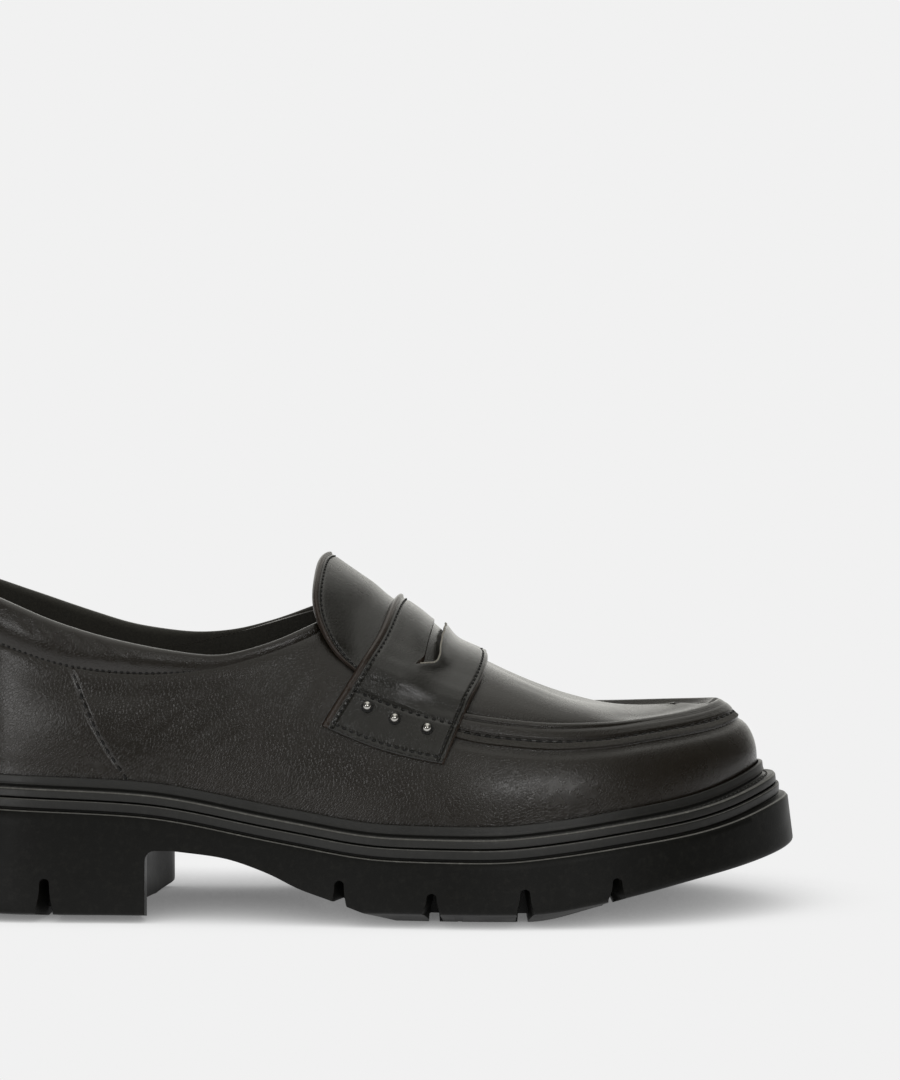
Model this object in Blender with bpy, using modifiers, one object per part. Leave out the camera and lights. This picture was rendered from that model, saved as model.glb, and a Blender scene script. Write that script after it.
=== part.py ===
"""Studded slip-on loafer for the right foot, with a saddle strap and a lugged rubber sole.

The toe points along +X, the outer (lateral) side faces -Y and the sole stands on Z = 0. Sizes are in
millimetres and are turned to metres when the meshes are made.
"""

import math

import bmesh
import bpy
from mathutils import Vector

MM = 0.001
PART_NAME = "studded_loafer"

# Feather line: the closed line where the upper meets the sole
FEATHER_BACK = -134.0
FEATHER_TOE = 130.5
LAST_COLUMNS = ("x", "lateral", "medial", "feather", "fullness")
LAST_ROWS = (
    (-134.0, 0.0, 0.0, 46.5, 3.0),
    (-121.0, 23.5, 23.0, 45.6, 2.9),
    (-100.0, 31.5, 30.5, 44.6, 2.7),
    (-62.0, 33.5, 29.5, 42.8, 2.4),
    (-17.0, 38.0, 30.5, 35.1, 2.2),
    (15.0, 43.0, 36.5, 30.6, 2.1),
    (45.0, 46.0, 43.5, 30.3, 2.3),
    (64.0, 45.0, 46.0, 32.0, 2.6),
    (84.0, 41.0, 44.0, 34.9, 2.8),
    (105.0, 32.0, 36.5, 38.1, 2.6),
    (121.0, 18.5, 22.5, 42.4, 2.35),
    (130.5, 0.0, 0.0, 46.3, 2.3),
)

# Ridge: the line over the instep. Behind the throat it is the cone of the last above the opening
RIDGE_BACK = -96.0
RIDGE_TOE = 104.0
RIDGE_COLUMNS = ("x", "z")
RIDGE_ROWS = (
    (-96.0, 152.0),
    (-60.0, 139.0),
    (-30.0, 124.5),
    (-6.7, 109.4),
    (17.3, 93.0),
    (43.0, 77.6),
    (54.0, 71.8),
    (63.0, 67.6),
    (72.0, 64.8),
    (80.0, 64.3),
    (90.0, 65.0),
    (104.0, 66.2),
)

THROAT_X = 14.0

# Collar edge and the two lines that bound the padded collar behind and the moccasin seam in front
COLLAR_COLUMNS = ("x", "lateral", "medial")
COLLAR_ROWS = (
    (-134.0, 107.5, 107.5),
    (-126.0, 105.5, 106.5),
    (-107.0, 98.8, 100.0),
    (-88.0, 91.0, 93.4),
    (-69.0, 85.5, 88.0),
    (-50.0, 82.0, 86.0),
    (-40.0, 81.0, 86.8),
    (-26.0, 84.0, 90.2),
    (-10.0, 90.6, 96.0),
    (2.0, 97.0, 100.0),
    (12.0, 103.0, 104.0),
)
SEAM_COLUMNS = ("x", "low", "high")
SEAM_ROWS = (
    (-134.0, 92.0, 104.5),
    (-107.0, 84.0, 95.6),
    (-83.0, 77.5, 86.3),
    (-60.0, 75.6, 80.7),
    (-44.0, 76.5, 79.0),
    (-29.0, 79.5, 81.5),
    (-11.0, 84.5, 88.0),
    (36.3, 55.7, 63.8),
    (48.0, 54.5, 61.9),
    (66.0, 53.5, 60.3),
    (80.0, 53.7, 60.1),
    (91.0, 54.5, 60.6),
    (105.0, 56.0, 61.8),
    (114.0, 57.1, 63.1),
    (119.0, 58.2, 64.6),
    (126.0, 59.5, 66.0),
)
COLLAR_PAD = 1.8
COLLAR_PAD_END = (-16.0, -8.0)
MOC_LIFT = 1.6
MOC_START = (40.0, 46.0)
STEP_WIDTH = 0.9
RIM_WIDTH = 1.8

# The plug lies lower than the last's ridge towards the toe, like the floor of a tray
PLUG_SINK = 3.2
PLUG_SINK_FROM = (72.0, 100.0)

UPPER_WALL = 2.0
UPPER_TURN_IN = 3.0
OVERLAY_GAP = 0.55

# Bands laid over the instep: side view points from the lower end up to the ridge
TONGUE_REAR = ((3.0, 75.8), (-3.6, 81.2), (-8.9, 88.8), (-11.2, 97.0), (-10.8, 104.5), (-8.3, 110.5))
TONGUE_FRONT = ((14.0, 72.0), (14.5, 78.0), (17.0, 84.0), (20.5, 89.0), (26.0, 88.2))
TONGUE_THICK = 1.6
TONGUE_FLARE = 1.2
TONGUE_STAND = 0.7
STRAP_REAR = ((-6.7, 59.7), (-0.4, 69.9), (6.2, 79.7), (10.6, 88.4), (13.4, 95.4))
STRAP_FRONT = ((30.5, 48.4), (34.8, 58.4), (39.3, 67.2), (43.2, 73.2), (45.6, 76.1))
STRAP_THICK = 1.6
STRAP_OVER_TONGUE = 2.7
STRAP_FRONT_STAND = 1.2

# Slot through the strap: a bowed lens seen from above
SLOT_MID = 30.2
SLOT_BOW = 7.6
SLOT_HALF_LENGTH = 31.0
SLOT_HALF_WIDTH = 2.3
SLOT_FLOOR = 60.0
SLOT_TOP = 130.0
SLOT_STEPS = 18

# Studs on the strap's lower ends: way up from the end and share of the width from the rear edge
STUD_ROWS = ((0.219, 0.236), (0.208, 0.478), (0.204, 0.759))
STUD_RADIUS = 1.6
STUD_SEAT = 0.35

# Sole layers, outward from the feather line at the toe and down from it
WELT_PROFILE = (
    (-8.0, -3.4),
    (0.5, -3.4),
    (0.5, -0.3),
    (1.8, -0.3),
    (2.2, -2.9),
    (1.6, -3.7),
    (5.8, -3.9),
    (6.2, -6.0),
    (5.8, -6.5),
    (-8.0, -6.5),
)
SOLE_TOP_PROFILE = (
    (-8.5, -3.5),
    (-8.5, -6.9),
    (6.7, -6.9),
    (7.3, -7.6),
    (7.3, -9.6),
    (6.8, -10.2),
    (9.4, -10.4),
    (10.2, -11.3),
)
SOLE_WALL_FOOT = 12.0
TREAD_INSET = 16.0
MARGIN_COLUMNS = ("x", "share")
MARGIN_ROWS = ((-134.0, 0.68), (-60.0, 0.62), (0.0, 0.6), (60.0, 0.62), (100.0, 0.82), (130.5, 0.96))
UNDER_COLUMNS = ("x", "edge", "tread")
UNDER_ROWS = (
    (-145.0, 3.4, 0.0),
    (-60.0, 2.6, 0.0),
    (0.0, 4.6, 0.0),
    (56.0, 4.7, 0.0),
    (77.0, 7.6, 4.2),
    (90.0, 10.2, 8.0),
    (108.0, 14.0, 12.6),
    (125.0, 17.0, 16.0),
    (136.0, 19.4, 18.6),
    (145.0, 21.8, 20.6),
)

# Arch under the waist, from the heel breast forward
BREAST_X = -60.2
BREAST_HOLLOW = 7.0
BREAST_FILLET = 3.0
ARCH_ROWS = ((-52.0, 22.1), (-37.0, 20.3), (-23.0, 15.9), (-13.0, 11.2), (-4.0, 8.2), (6.0, 4.6), (20.0, -2.0))
ARCH_HALF_WIDTH = 60.0
ARCH_STEPS = 12
CUT_FLOOR = -6.0

# Lug notches in the sole's sides: place and height over the wall's foot
NOTCH_ROWS = ((0.1, 9.5), (27.6, 6.1), (54.4, 7.5), (80.4, 6.5), (-90.4, 10.7), (-118.5, 10.7))
NOTCH_TOP_HALF = 1.4
NOTCH_FOOT_HALF = 2.9
NOTCH_DEPTH = 14.0
NOTCH_REACH = 12.0
NOTCH_ARC_STEPS = 6
GROOVE_HALF = 1.7
GROOVE_DEPTH = 3.0

INSOLE_INSET = 2.7
INSOLE_LOW = -3.0
INSOLE_HIGH = 1.2

# Counts of facets
HALF_COLUMNS = 34
WALL_ROWS = 4
PLUG_ROWS = 4
BAND_ACROSS = 22
BAND_ALONG = 6

QUARTER = math.pi / 2
TINY = 1e-3
LATERAL = -1
MEDIAL = 1
COLUMNS = 2 * HALF_COLUMNS


def smooth(xs, ys):
    """Returns a function of x: a cubic curve through the points that never overshoots them."""
    steps = [b - a for a, b in zip(xs, xs[1:])]
    slopes = [(b - a) / step for a, b, step in zip(ys, ys[1:], steps)]
    tangents = [slopes[0]]
    for before, after in zip(slopes, slopes[1:]):
        tangents.append(2 * before * after / (before + after) if before * after > 0 else 0.0)
    tangents.append(slopes[-1])

    def value(x):
        x = min(max(x, xs[0]), xs[-1])
        i = max(k for k in range(len(steps)) if x >= xs[k])
        u = (x - xs[i]) / steps[i]
        start = (1 + 2 * u) * (1 - u) ** 2 * ys[i] + u * (1 - u) ** 2 * steps[i] * tangents[i]
        end = u * u * (3 - 2 * u) * ys[i + 1] + u * u * (u - 1) * steps[i] * tangents[i + 1]
        return start + end

    return value


def curve(rows, columns, name, key=lambda x: x):
    """Returns the smooth curve of one named column against the table's first column."""
    at = columns.index(name)
    return smooth([key(row[0]) for row in rows], [row[at] for row in rows])


def ramp(x, start, end):
    """Returns 0 before start, 1 after end and an even blend between."""
    u = min(max((x - start) / (end - start), 0.0), 1.0)
    return u * u * (3 - 2 * u)


FEATHER_MID = (FEATHER_BACK + FEATHER_TOE) / 2
FEATHER_HALF = (FEATHER_TOE - FEATHER_BACK) / 2


def turn_of(x):
    """Returns the place along one side, 0 at the heel and 1 at the toe, of a point of the feather line."""
    return math.acos(min(max((FEATHER_MID - x) / FEATHER_HALF, -1.0), 1.0)) / math.pi


HALF_WIDTH = {
    LATERAL: curve(LAST_ROWS, LAST_COLUMNS, "lateral", turn_of),
    MEDIAL: curve(LAST_ROWS, LAST_COLUMNS, "medial", turn_of),
}
COLLAR = {
    LATERAL: curve(COLLAR_ROWS, COLLAR_COLUMNS, "lateral"),
    MEDIAL: curve(COLLAR_ROWS, COLLAR_COLUMNS, "medial"),
}
FEATHER_Z = curve(LAST_ROWS, LAST_COLUMNS, "feather")
FULLNESS = curve(LAST_ROWS, LAST_COLUMNS, "fullness")
RIDGE_Z = curve(RIDGE_ROWS, RIDGE_COLUMNS, "z")
SEAM_LOW = curve(SEAM_ROWS, SEAM_COLUMNS, "low")
SEAM_HIGH = curve(SEAM_ROWS, SEAM_COLUMNS, "high")
MARGIN = curve(MARGIN_ROWS, MARGIN_COLUMNS, "share")
UNDER_EDGE = curve(UNDER_ROWS, UNDER_COLUMNS, "edge")
UNDER_TREAD = curve(UNDER_ROWS, UNDER_COLUMNS, "tread")
ARCH_Z = smooth([row[0] for row in ARCH_ROWS], [row[1] for row in ARCH_ROWS])


def side_of(ring):
    """Splits a place round the shoe (0 heel, 1 toe, 2 heel again) into its turn and its side."""
    ring %= 2.0
    return (ring, LATERAL) if ring <= 1 else (2 - ring, MEDIAL)


def feather_point(ring):
    """Returns the feather line's point at a place round the shoe."""
    turn, side = side_of(ring)
    x = FEATHER_MID - FEATHER_HALF * math.cos(math.pi * turn)
    return Vector((x, side * HALF_WIDTH[side](turn), FEATHER_Z(x)))


def last_point(ring, lean):
    """Returns the point of the last's surface at a lean of 0 on the feather line and QUARTER on the ridge."""
    if lean > QUARTER:
        return last_point(2 - ring, 2 * QUARTER - lean)
    foot = feather_point(ring)
    if lean < 0:
        return foot + Vector((0, 0, lean * UPPER_TURN_IN))
    turn = side_of(ring)[0]
    top_x = (RIDGE_BACK + RIDGE_TOE) / 2 - (RIDGE_TOE - RIDGE_BACK) / 2 * math.cos(math.pi * turn)
    power = 2 / FULLNESS(foot.x)
    out = max(math.cos(lean), 0.0) ** power
    rise = math.sin(lean) ** power
    x = top_x + (foot.x - top_x) * out
    return Vector((x, foot.y * out, foot.z + (RIDGE_Z(top_x) - foot.z) * rise))


def last_normal(ring, lean):
    """Returns the outward normal of the last's surface."""
    along = last_point(ring + TINY, lean) - last_point(ring - TINY, lean)
    up = last_point(ring, lean + TINY) - last_point(ring, max(lean, TINY) - TINY)
    return along.cross(up).normalized()


def lifted(ring, lean, lift):
    """Returns a point that stands off the last's surface by a lift."""
    point = last_point(ring, lean)
    return point + last_normal(ring, lean) * lift if lift else point


def lean_at(ring, line):
    """Returns the lean at which the last's surface at this place climbs past a side view line."""
    low, high = 0.0, QUARTER
    for _ in range(30):
        middle = (low + high) / 2
        point = last_point(ring, middle)
        if point.z < line(point.x):
            low = middle
        else:
            high = middle
    return low


def place_of(x, z, side):
    """Returns the turn and lean of the surface point that a side view shows at x and z."""
    low, high = 0.0, 1.0
    for _ in range(30):
        turn = (low + high) / 2
        ring = turn if side == LATERAL else 2 - turn
        lean = lean_at(ring, lambda _: z)
        if last_point(ring, lean).x < x:
            low = turn
        else:
            high = turn
    return turn, lean


def feather_offset(ring, out, z):
    """Returns a point set out from the feather line in plan, at a height z or, as a function, z of x."""
    along = feather_point(ring + TINY) - feather_point(ring - TINY)
    outward = Vector((along.y, -along.x, 0)).normalized()
    foot = feather_point(ring)
    if out > 0:
        point = foot + outward * out * MARGIN(foot.x)
        base = foot.z
    else:
        point = foot + outward * out
        base = FEATHER_Z(point.x)
    point.z = z(point.x) if callable(z) else base + z
    return point


def ring_of(out, z):
    """Returns one closed ring of points round the sole."""
    return [feather_offset(column / HALF_COLUMNS, out, z) for column in range(COLUMNS)]


def sole_centre():
    """Returns what moves the sole's outline to the middle of the frame."""
    ring = ring_of(SOLE_WALL_FOOT, UNDER_EDGE)
    xs = [point.x for point in ring]
    ys = [point.y for point in ring]
    return Vector((-(min(xs) + max(xs)) / 2, -(min(ys) + max(ys)) / 2, 0))


CENTRE = sole_centre()


def collection(name):
    """Returns a new collection in the scene."""
    made = bpy.data.collections.new(name)
    bpy.context.scene.collection.children.link(made)
    return made


def material(name, colour, roughness, metallic=0.0):
    """Returns a plain Principled material."""
    made = bpy.data.materials.new(name)
    made.use_nodes = True
    shader = made.node_tree.nodes["Principled BSDF"]
    shader.inputs["Base Color"].default_value = (*colour, 1.0)
    shader.inputs["Roughness"].default_value = roughness
    shader.inputs["Metallic"].default_value = metallic
    return made


def add_object(name, mesh, group, finish=None):
    """Returns a new object of a bmesh given in millimetres, smooth shaded with its steps kept sharp."""
    bmesh.ops.scale(mesh, vec=(MM, MM, MM), verts=mesh.verts)
    bmesh.ops.recalc_face_normals(mesh, faces=mesh.faces)
    data = bpy.data.meshes.new(name)
    mesh.to_mesh(data)
    mesh.free()
    data.shade_smooth()
    data.set_sharp_from_angle(angle=math.radians(35))
    made = bpy.data.objects.new(name, data)
    group.objects.link(made)
    if finish:
        data.materials.append(finish)
    return made


def loft(rings, closed=False):
    """Returns a bmesh through rings of points, capped at both ends or closed on itself."""
    mesh = bmesh.new()
    verts = [[mesh.verts.new(point + CENTRE) for point in ring] for ring in rings]
    pairs = list(zip(verts, verts[1:]))
    if closed:
        pairs.append((verts[-1], verts[0]))
    for lower, upper in pairs:
        for i in range(COLUMNS):
            after = (i + 1) % COLUMNS
            mesh.faces.new((lower[i], lower[after], upper[after], upper[i]))
    if not closed:
        cap(mesh, verts[0])
        cap(mesh, verts[-1])
    return mesh


def cap(mesh, ring):
    """Closes a ring with faces that run across the shoe from one side to the other."""
    for i in range(HALF_COLUMNS):
        corners = (ring[i], ring[i + 1], ring[-i - 1], ring[-i] if i else ring[0])
        mesh.faces.new(list(dict.fromkeys(corners)))


def prism(outline, start, shift):
    """Returns a bmesh of a flat outline of points, moved to start and swept along shift."""
    mesh = bmesh.new()
    face = mesh.faces.new([mesh.verts.new(start + point) for point in outline])
    swept = bmesh.ops.extrude_face_region(mesh, geom=[face])
    moved = [item for item in swept["geom"] if isinstance(item, bmesh.types.BMVert)]
    bmesh.ops.translate(mesh, vec=shift, verts=moved)
    return mesh


def add_cutter(target, name, mesh, group):
    """Cuts a closed bmesh out of an object."""
    cutter = add_object(name, mesh, group)
    cutter.hide_render = True
    cutter.display_type = "WIRE"
    cut = target.modifiers.new(name, "BOOLEAN")
    cut.operation = "DIFFERENCE"
    cut.solver = "EXACT"
    cut.object = cutter


def build_outsole(group, cutters, rubber):
    """Makes the rubber unit: stepped side, tread, arch with a hollow heel breast, and lug notches."""
    rings = [ring_of(out, z) for out, z in SOLE_TOP_PROFILE]
    rings.append(ring_of(SOLE_WALL_FOOT, UNDER_EDGE))
    rings.append([inset_tread(column / HALF_COLUMNS) for column in range(COLUMNS)])
    outsole = add_object("outsole", loft(rings), group, rubber)
    add_cutter(outsole, "cut_arch", arch_mesh(), cutters)
    for x, height in NOTCH_ROWS:
        for side in (LATERAL, MEDIAL):
            name = f"cut_notch_{'lateral' if side == LATERAL else 'medial'}_{x:.0f}"
            add_cutter(outsole, name, notch_mesh(x, height, side), cutters)
        add_cutter(outsole, f"cut_groove_{x:.0f}", groove_mesh(x), cutters)
    return outsole


def inset_tread(ring):
    """Returns a point of the tread's edge, set in from the foot of the side wall."""
    foot = feather_point(ring)
    reach = SOLE_WALL_FOOT * MARGIN(foot.x) - TREAD_INSET
    return feather_offset(ring, min(reach, -TINY), UNDER_TREAD)


def arch_mesh():
    """Returns the cutter of the waist: a ceiling line swept across, its back face hollowed into the heel."""
    first = ARCH_ROWS[0][0]
    last = ARCH_ROWS[-1][0]
    ceiling = [(first + (last - first) * i / ARCH_STEPS) for i in range(ARCH_STEPS + 1)]
    mesh = bmesh.new()
    slices = []
    for i in range(ARCH_STEPS + 1):
        y = ARCH_HALF_WIDTH * (2 * i / ARCH_STEPS - 1)
        hollow = BREAST_HOLLOW * max(1 - (y / HALF_WIDTH[LATERAL](turn_of(BREAST_X))) ** 2, 0.0)
        back = BREAST_X - hollow
        outline = [(last, CUT_FLOOR), (back, CUT_FLOOR), (back, ARCH_ROWS[0][1] - BREAST_FILLET)]
        outline.append((back + BREAST_FILLET, ARCH_ROWS[0][1]))
        outline += [(x, ARCH_Z(x)) for x in ceiling]
        slices.append([mesh.verts.new(Vector((x, y, z)) + CENTRE) for x, z in outline])
    for before, after in zip(slices, slices[1:]):
        for k in range(len(before)):
            mesh.faces.new((before[k - 1], before[k], after[k], after[k - 1]))
    mesh.faces.new(slices[0])
    mesh.faces.new(slices[-1])
    return mesh


def notch_mesh(x, height, side):
    """Returns the cutter of one lug notch: round on top, flared at its foot, square to the sole's edge."""
    ring = turn_of(x) if side == LATERAL else 2 - turn_of(x)
    edge = feather_offset(ring, SOLE_WALL_FOOT, UNDER_EDGE)
    along = (feather_point(ring + TINY) - feather_point(ring - TINY)) * Vector((1, 1, 0))
    along.normalize()
    outward = Vector((along.y, -along.x, 0))
    foot = min(edge.z, UNDER_TREAD(edge.x)) + CUT_FLOOR
    shoulder = edge.z + height - NOTCH_TOP_HALF
    outline = [along * NOTCH_FOOT_HALF + Vector((0, 0, z)) for z in (foot, edge.z)]
    for k in range(NOTCH_ARC_STEPS + 1):
        angle = math.pi * k / NOTCH_ARC_STEPS
        rise = Vector((0, 0, shoulder + NOTCH_TOP_HALF * math.sin(angle)))
        outline.append(along * (NOTCH_TOP_HALF * math.cos(angle)) + rise)
    outline += [along * -NOTCH_FOOT_HALF + Vector((0, 0, z)) for z in (edge.z, foot)]
    start = Vector((edge.x, edge.y, 0)) - outward * NOTCH_DEPTH + CENTRE
    return prism(outline, start, outward * (NOTCH_DEPTH + NOTCH_REACH))


def groove_mesh(x):
    """Returns the cutter of the tread groove that joins the two notches at x across the sole."""
    top = UNDER_TREAD(x) + GROOVE_DEPTH
    corners = ((-GROOVE_HALF, CUT_FLOOR), (GROOVE_HALF, CUT_FLOOR), (GROOVE_HALF, top), (-GROOVE_HALF, top))
    outline = [Vector((along, 0, z)) for along, z in corners]
    reach = {side: side * HALF_WIDTH[side](turn_of(x)) for side in (LATERAL, MEDIAL)}
    start = Vector((x, reach[LATERAL], 0)) + CENTRE
    return prism(outline, start, Vector((0, reach[MEDIAL] - reach[LATERAL], 0)))


def build_welt(group, finish):
    """Makes the welt strip: a rand lip up against the upper, a groove and a flat edge."""
    rings = [ring_of(out, z) for out, z in WELT_PROFILE]
    return add_object("welt", loft(rings, closed=True), group, finish)


def build_insole(group, finish):
    """Makes the insole that closes the upper underneath."""
    rings = [ring_of(-INSOLE_INSET, INSOLE_LOW), ring_of(-INSOLE_INSET, INSOLE_HIGH)]
    return add_object("insole", loft(rings), group, finish)


def seam_lift(x):
    """Returns how far the collar pad or the moccasin seam stands off the wall at x."""
    pad = COLLAR_PAD * (1 - ramp(x, *COLLAR_PAD_END))
    return pad + MOC_LIFT * ramp(x, *MOC_START)


def plug_sink(x, share):
    """Returns how far the plug lies under the last at x, from the share of the way from its rim to the ridge."""
    return PLUG_SINK * ramp(x, *PLUG_SINK_FROM) * ramp(share, 0.0, 1.0)


def upper_column(ring, throat):
    """Returns one column of the upper's outer surface, from its turned-in edge to the collar or the ridge."""
    turn, side = side_of(ring)
    top = QUARTER if turn >= throat else lean_at(ring, COLLAR[side])
    low = min(lean_at(ring, SEAM_LOW), top * 0.9)
    high = min(lean_at(ring, SEAM_HIGH), low + (top - low) * 0.8)
    spot = last_point(ring, low)
    lift = seam_lift(spot.x)
    reach = (last_point(ring, high) - spot).length
    step = (high - low) * STEP_WIDTH / reach
    rim = min((high - low) * RIM_WIDTH / reach, (top - high) * 0.5)
    column = [lifted(ring, -1.0, 0.0)]
    column += [last_point(ring, low * i / WALL_ROWS) for i in range(WALL_ROWS)]
    column += [last_point(ring, low), lifted(ring, low + step, lift)]
    column += [lifted(ring, (low + step + high) / 2, lift), lifted(ring, high, lift)]
    column += [lifted(ring, high + rim, 0.0)]
    start = high + rim
    for i in range(1, PLUG_ROWS + 1):
        lean = start + (top - start) * i / PLUG_ROWS
        column.append(lifted(ring, lean, -plug_sink(last_point(ring, lean).x, i / PLUG_ROWS)))
    return column


def build_upper(group, leather):
    """Makes the lasted wall, open at the collar and underneath, as a surface with thickness."""
    throat_column = round(turn_of(THROAT_X) * HALF_COLUMNS)
    throat = (throat_column - 0.5) / HALF_COLUMNS
    mesh = bmesh.new()
    columns = []
    for i in range(COLUMNS):
        points = upper_column(i / HALF_COLUMNS, throat)
        columns.append([mesh.verts.new(point + CENTRE) for point in points])
    for i in range(HALF_COLUMNS + 1, COLUMNS):
        twin = COLUMNS - i
        if twin >= throat_column:
            mesh.verts.remove(columns[i][-1])
            columns[i][-1] = columns[twin][-1]
    for i in range(COLUMNS):
        here, after = columns[i], columns[(i + 1) % COLUMNS]
        for k in range(len(here) - 1):
            corners = (here[k], after[k], after[k + 1], here[k + 1])
            mesh.faces.new(list(dict.fromkeys(corners)))
    upper = add_object("upper", mesh, group, leather)
    wall = upper.modifiers.new("wall", "SOLIDIFY")
    wall.thickness = UPPER_WALL * MM
    wall.offset = -1
    return upper


def band_edge(rows, side):
    """Returns the turn and the lean of a band's edge as curves of the way up to the ridge, 0 to 1."""
    places = [place_of(x, z, side) for x, z in rows[:-1]]
    ridge_turn = place_of(*rows[-1], side)[0]
    places.append((ridge_turn, QUARTER))
    ways = [i / (len(places) - 1) for i in range(len(places))]
    return smooth(ways, [turn for turn, _ in places]), smooth(ways, [lean for _, lean in places])


def band_edges(rear, front):
    """Returns the curves of a band's two edges on each side of the shoe."""
    return {side: (band_edge(rear, side), band_edge(front, side)) for side in (LATERAL, MEDIAL)}


def band_place(edges, side, way, share):
    """Returns the place on the last under a band, from the way up it and the share along it."""
    turn, lean = (a(way) * (1 - share) + b(way) * share for a, b in zip(*edges[side]))
    return (turn if side == LATERAL else 2 - turn), lean


def build_band(name, rear, front, lift, thickness, group, finish):
    """Makes a band over the instep between two edges, as a surface with thickness.

    lift gives how far the band stands off the upper, from the way up (0 at an end, 1 on the ridge) and the
    way along (0 at the rear edge, 1 at the front edge).
    """
    edges = band_edges(rear, front)
    mesh = bmesh.new()
    rows = []
    for i in range(2 * BAND_ACROSS + 1):
        side = LATERAL if i <= BAND_ACROSS else MEDIAL
        way = 1 - abs(i / BAND_ACROSS - 1)
        row = []
        for k in range(BAND_ALONG + 1):
            share = k / BAND_ALONG
            point = lifted(*band_place(edges, side, way, share), lift(way, share))
            row.append(mesh.verts.new(point + CENTRE))
        rows.append(row)
    for before, after in zip(rows, rows[1:]):
        for k in range(BAND_ALONG):
            mesh.faces.new((before[k], before[k + 1], after[k + 1], after[k]))
    band = add_object(name, mesh, group, finish)
    wall = band.modifiers.new("wall", "SOLIDIFY")
    wall.thickness = thickness * MM
    wall.offset = 1
    return band


def strap_lift(way, share):
    """Returns how far the strap stands off the upper: over the tongue behind, a little proud in front."""
    over = (1 - ramp(share, 0.35, 0.75)) * ramp(way, 0.2, 0.42)
    proud = ramp(share, 0.6, 1.0) * ramp(way, 0.4, 0.9)
    return OVERLAY_GAP + (STRAP_OVER_TONGUE - OVERLAY_GAP) * over + STRAP_FRONT_STAND * proud


def slot_mesh():
    """Returns the cutter of the strap's slot."""
    edge = []
    for k in range(SLOT_STEPS + 1):
        u = 2 * k / SLOT_STEPS - 1
        half = SLOT_HALF_WIDTH * math.sqrt(max(1 - u * u, 0.0))
        edge.append((SLOT_MID - SLOT_BOW * u * u, SLOT_HALF_LENGTH * u, half))
    front = [Vector((x + half, y, 0)) for x, y, half in edge]
    rear = [Vector((x - half, y, 0)) for x, y, half in reversed(edge[1:-1])]
    return prism(front + rear, Vector((0, 0, SLOT_FLOOR)) + CENTRE, Vector((0, 0, SLOT_TOP - SLOT_FLOOR)))


def build_strap(group, cutters, leather):
    """Makes the saddle strap and cuts its slot."""
    strap = build_band("strap", STRAP_REAR, STRAP_FRONT, strap_lift, STRAP_THICK, group, leather)
    add_cutter(strap, "cut_slot", slot_mesh(), cutters)
    return strap


def tongue_lift(way, share):
    """Returns how far the tongue stands off the upper: flared at the sides, a little higher behind the strap."""
    flare = TONGUE_FLARE * (1 - ramp(share, 0.0, 0.5)) * ramp(way, 0.1, 0.35) * (1 - ramp(way, 0.6, 0.95))
    stand = TONGUE_STAND * (1 - ramp(share, 0.4, 0.6)) * ramp(way, 0.6, 0.9)
    return OVERLAY_GAP + flare + stand


def build_tongue(group, leather):
    """Makes the tongue, which lies on the instep and runs in under the strap."""
    return build_band("tongue", TONGUE_REAR, TONGUE_FRONT, tongue_lift, TONGUE_THICK, group, leather)


def build_studs(group, metal):
    """Makes the domed studs in a row along each lower end of the strap."""
    studs = []
    edges = band_edges(STRAP_REAR, STRAP_FRONT)
    for side, word in ((LATERAL, "lateral"), (MEDIAL, "medial")):
        for number, (way, share) in enumerate(STUD_ROWS, 1):
            mesh = bmesh.new()
            bmesh.ops.create_uvsphere(mesh, u_segments=10, v_segments=6, radius=STUD_RADIUS)
            everything = mesh.verts[:] + mesh.edges[:] + mesh.faces[:]
            low = Vector((0, 0, -STUD_RADIUS / 2))
            cut = bmesh.ops.bisect_plane(
                mesh, geom=everything, plane_co=low, plane_no=Vector((0, 0, -1)), clear_outer=True
            )
            rim = [item for item in cut["geom_cut"] if isinstance(item, bmesh.types.BMEdge)]
            bmesh.ops.edgeloop_fill(mesh, edges=rim)
            stud = add_object(f"stud_{word}_{number}", mesh, group, metal)
            ring, lean = band_place(edges, side, way, share)
            height = strap_lift(way, share) + STRAP_THICK + STUD_SEAT + STUD_RADIUS / 2
            normal = last_normal(ring, lean)
            stud.location = (lifted(ring, lean, height) + CENTRE) * MM
            stud.rotation_euler = normal.to_track_quat("Z", "Y").to_euler()
            studs.append(stud)
    return studs


def main():
    """Clears the scene and builds every piece."""
    for old in list(bpy.data.objects):
        bpy.data.objects.remove(old, do_unlink=True)
    group = collection(PART_NAME)
    cutters = collection("cutters")
    cutters.hide_render = True
    rubber = material("moulded_black_rubber", (0.012, 0.012, 0.011), 0.75)
    welt_rubber = material("moulded_welt_rubber", (0.020, 0.019, 0.018), 0.6)
    sock = material("black_sock_felt", (0.008, 0.008, 0.008), 0.95)
    leather = material("black_brown_leather", (0.011, 0.009, 0.008), 0.38)
    strap_leather = material("black_strap_leather", (0.014, 0.013, 0.012), 0.42)
    metal = material("polished_steel", (0.78, 0.78, 0.76), 0.08, 1.0)
    pieces = [
        build_outsole(group, cutters, rubber),
        build_welt(group, welt_rubber),
        build_insole(group, sock),
        build_upper(group, leather),
        build_tongue(group, strap_leather),
        build_strap(group, cutters, strap_leather),
    ]
    pieces += build_studs(group, metal)
    root = bpy.data.objects.new("shoe_root", None)
    group.objects.link(root)
    for piece in pieces:
        piece.parent = root


main()
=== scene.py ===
"""Looks of a studded loafer: grained leather, padded collar, stitched seams, felt, rubber and steel.

The toe points along +X, the outer (lateral) side faces -Y and the sole stands on Z = 0. Sizes are in
millimetres, and turn to metres when a mesh is made.
"""

from __future__ import annotations

import logging
import math
from dataclasses import dataclass
from enum import Enum
from typing import Callable, Sequence

import bmesh
import bpy
import numpy as np
from bpy.types import Material, Node, NodeSocket, NodeTree, Object
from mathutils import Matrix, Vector, noise

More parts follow.
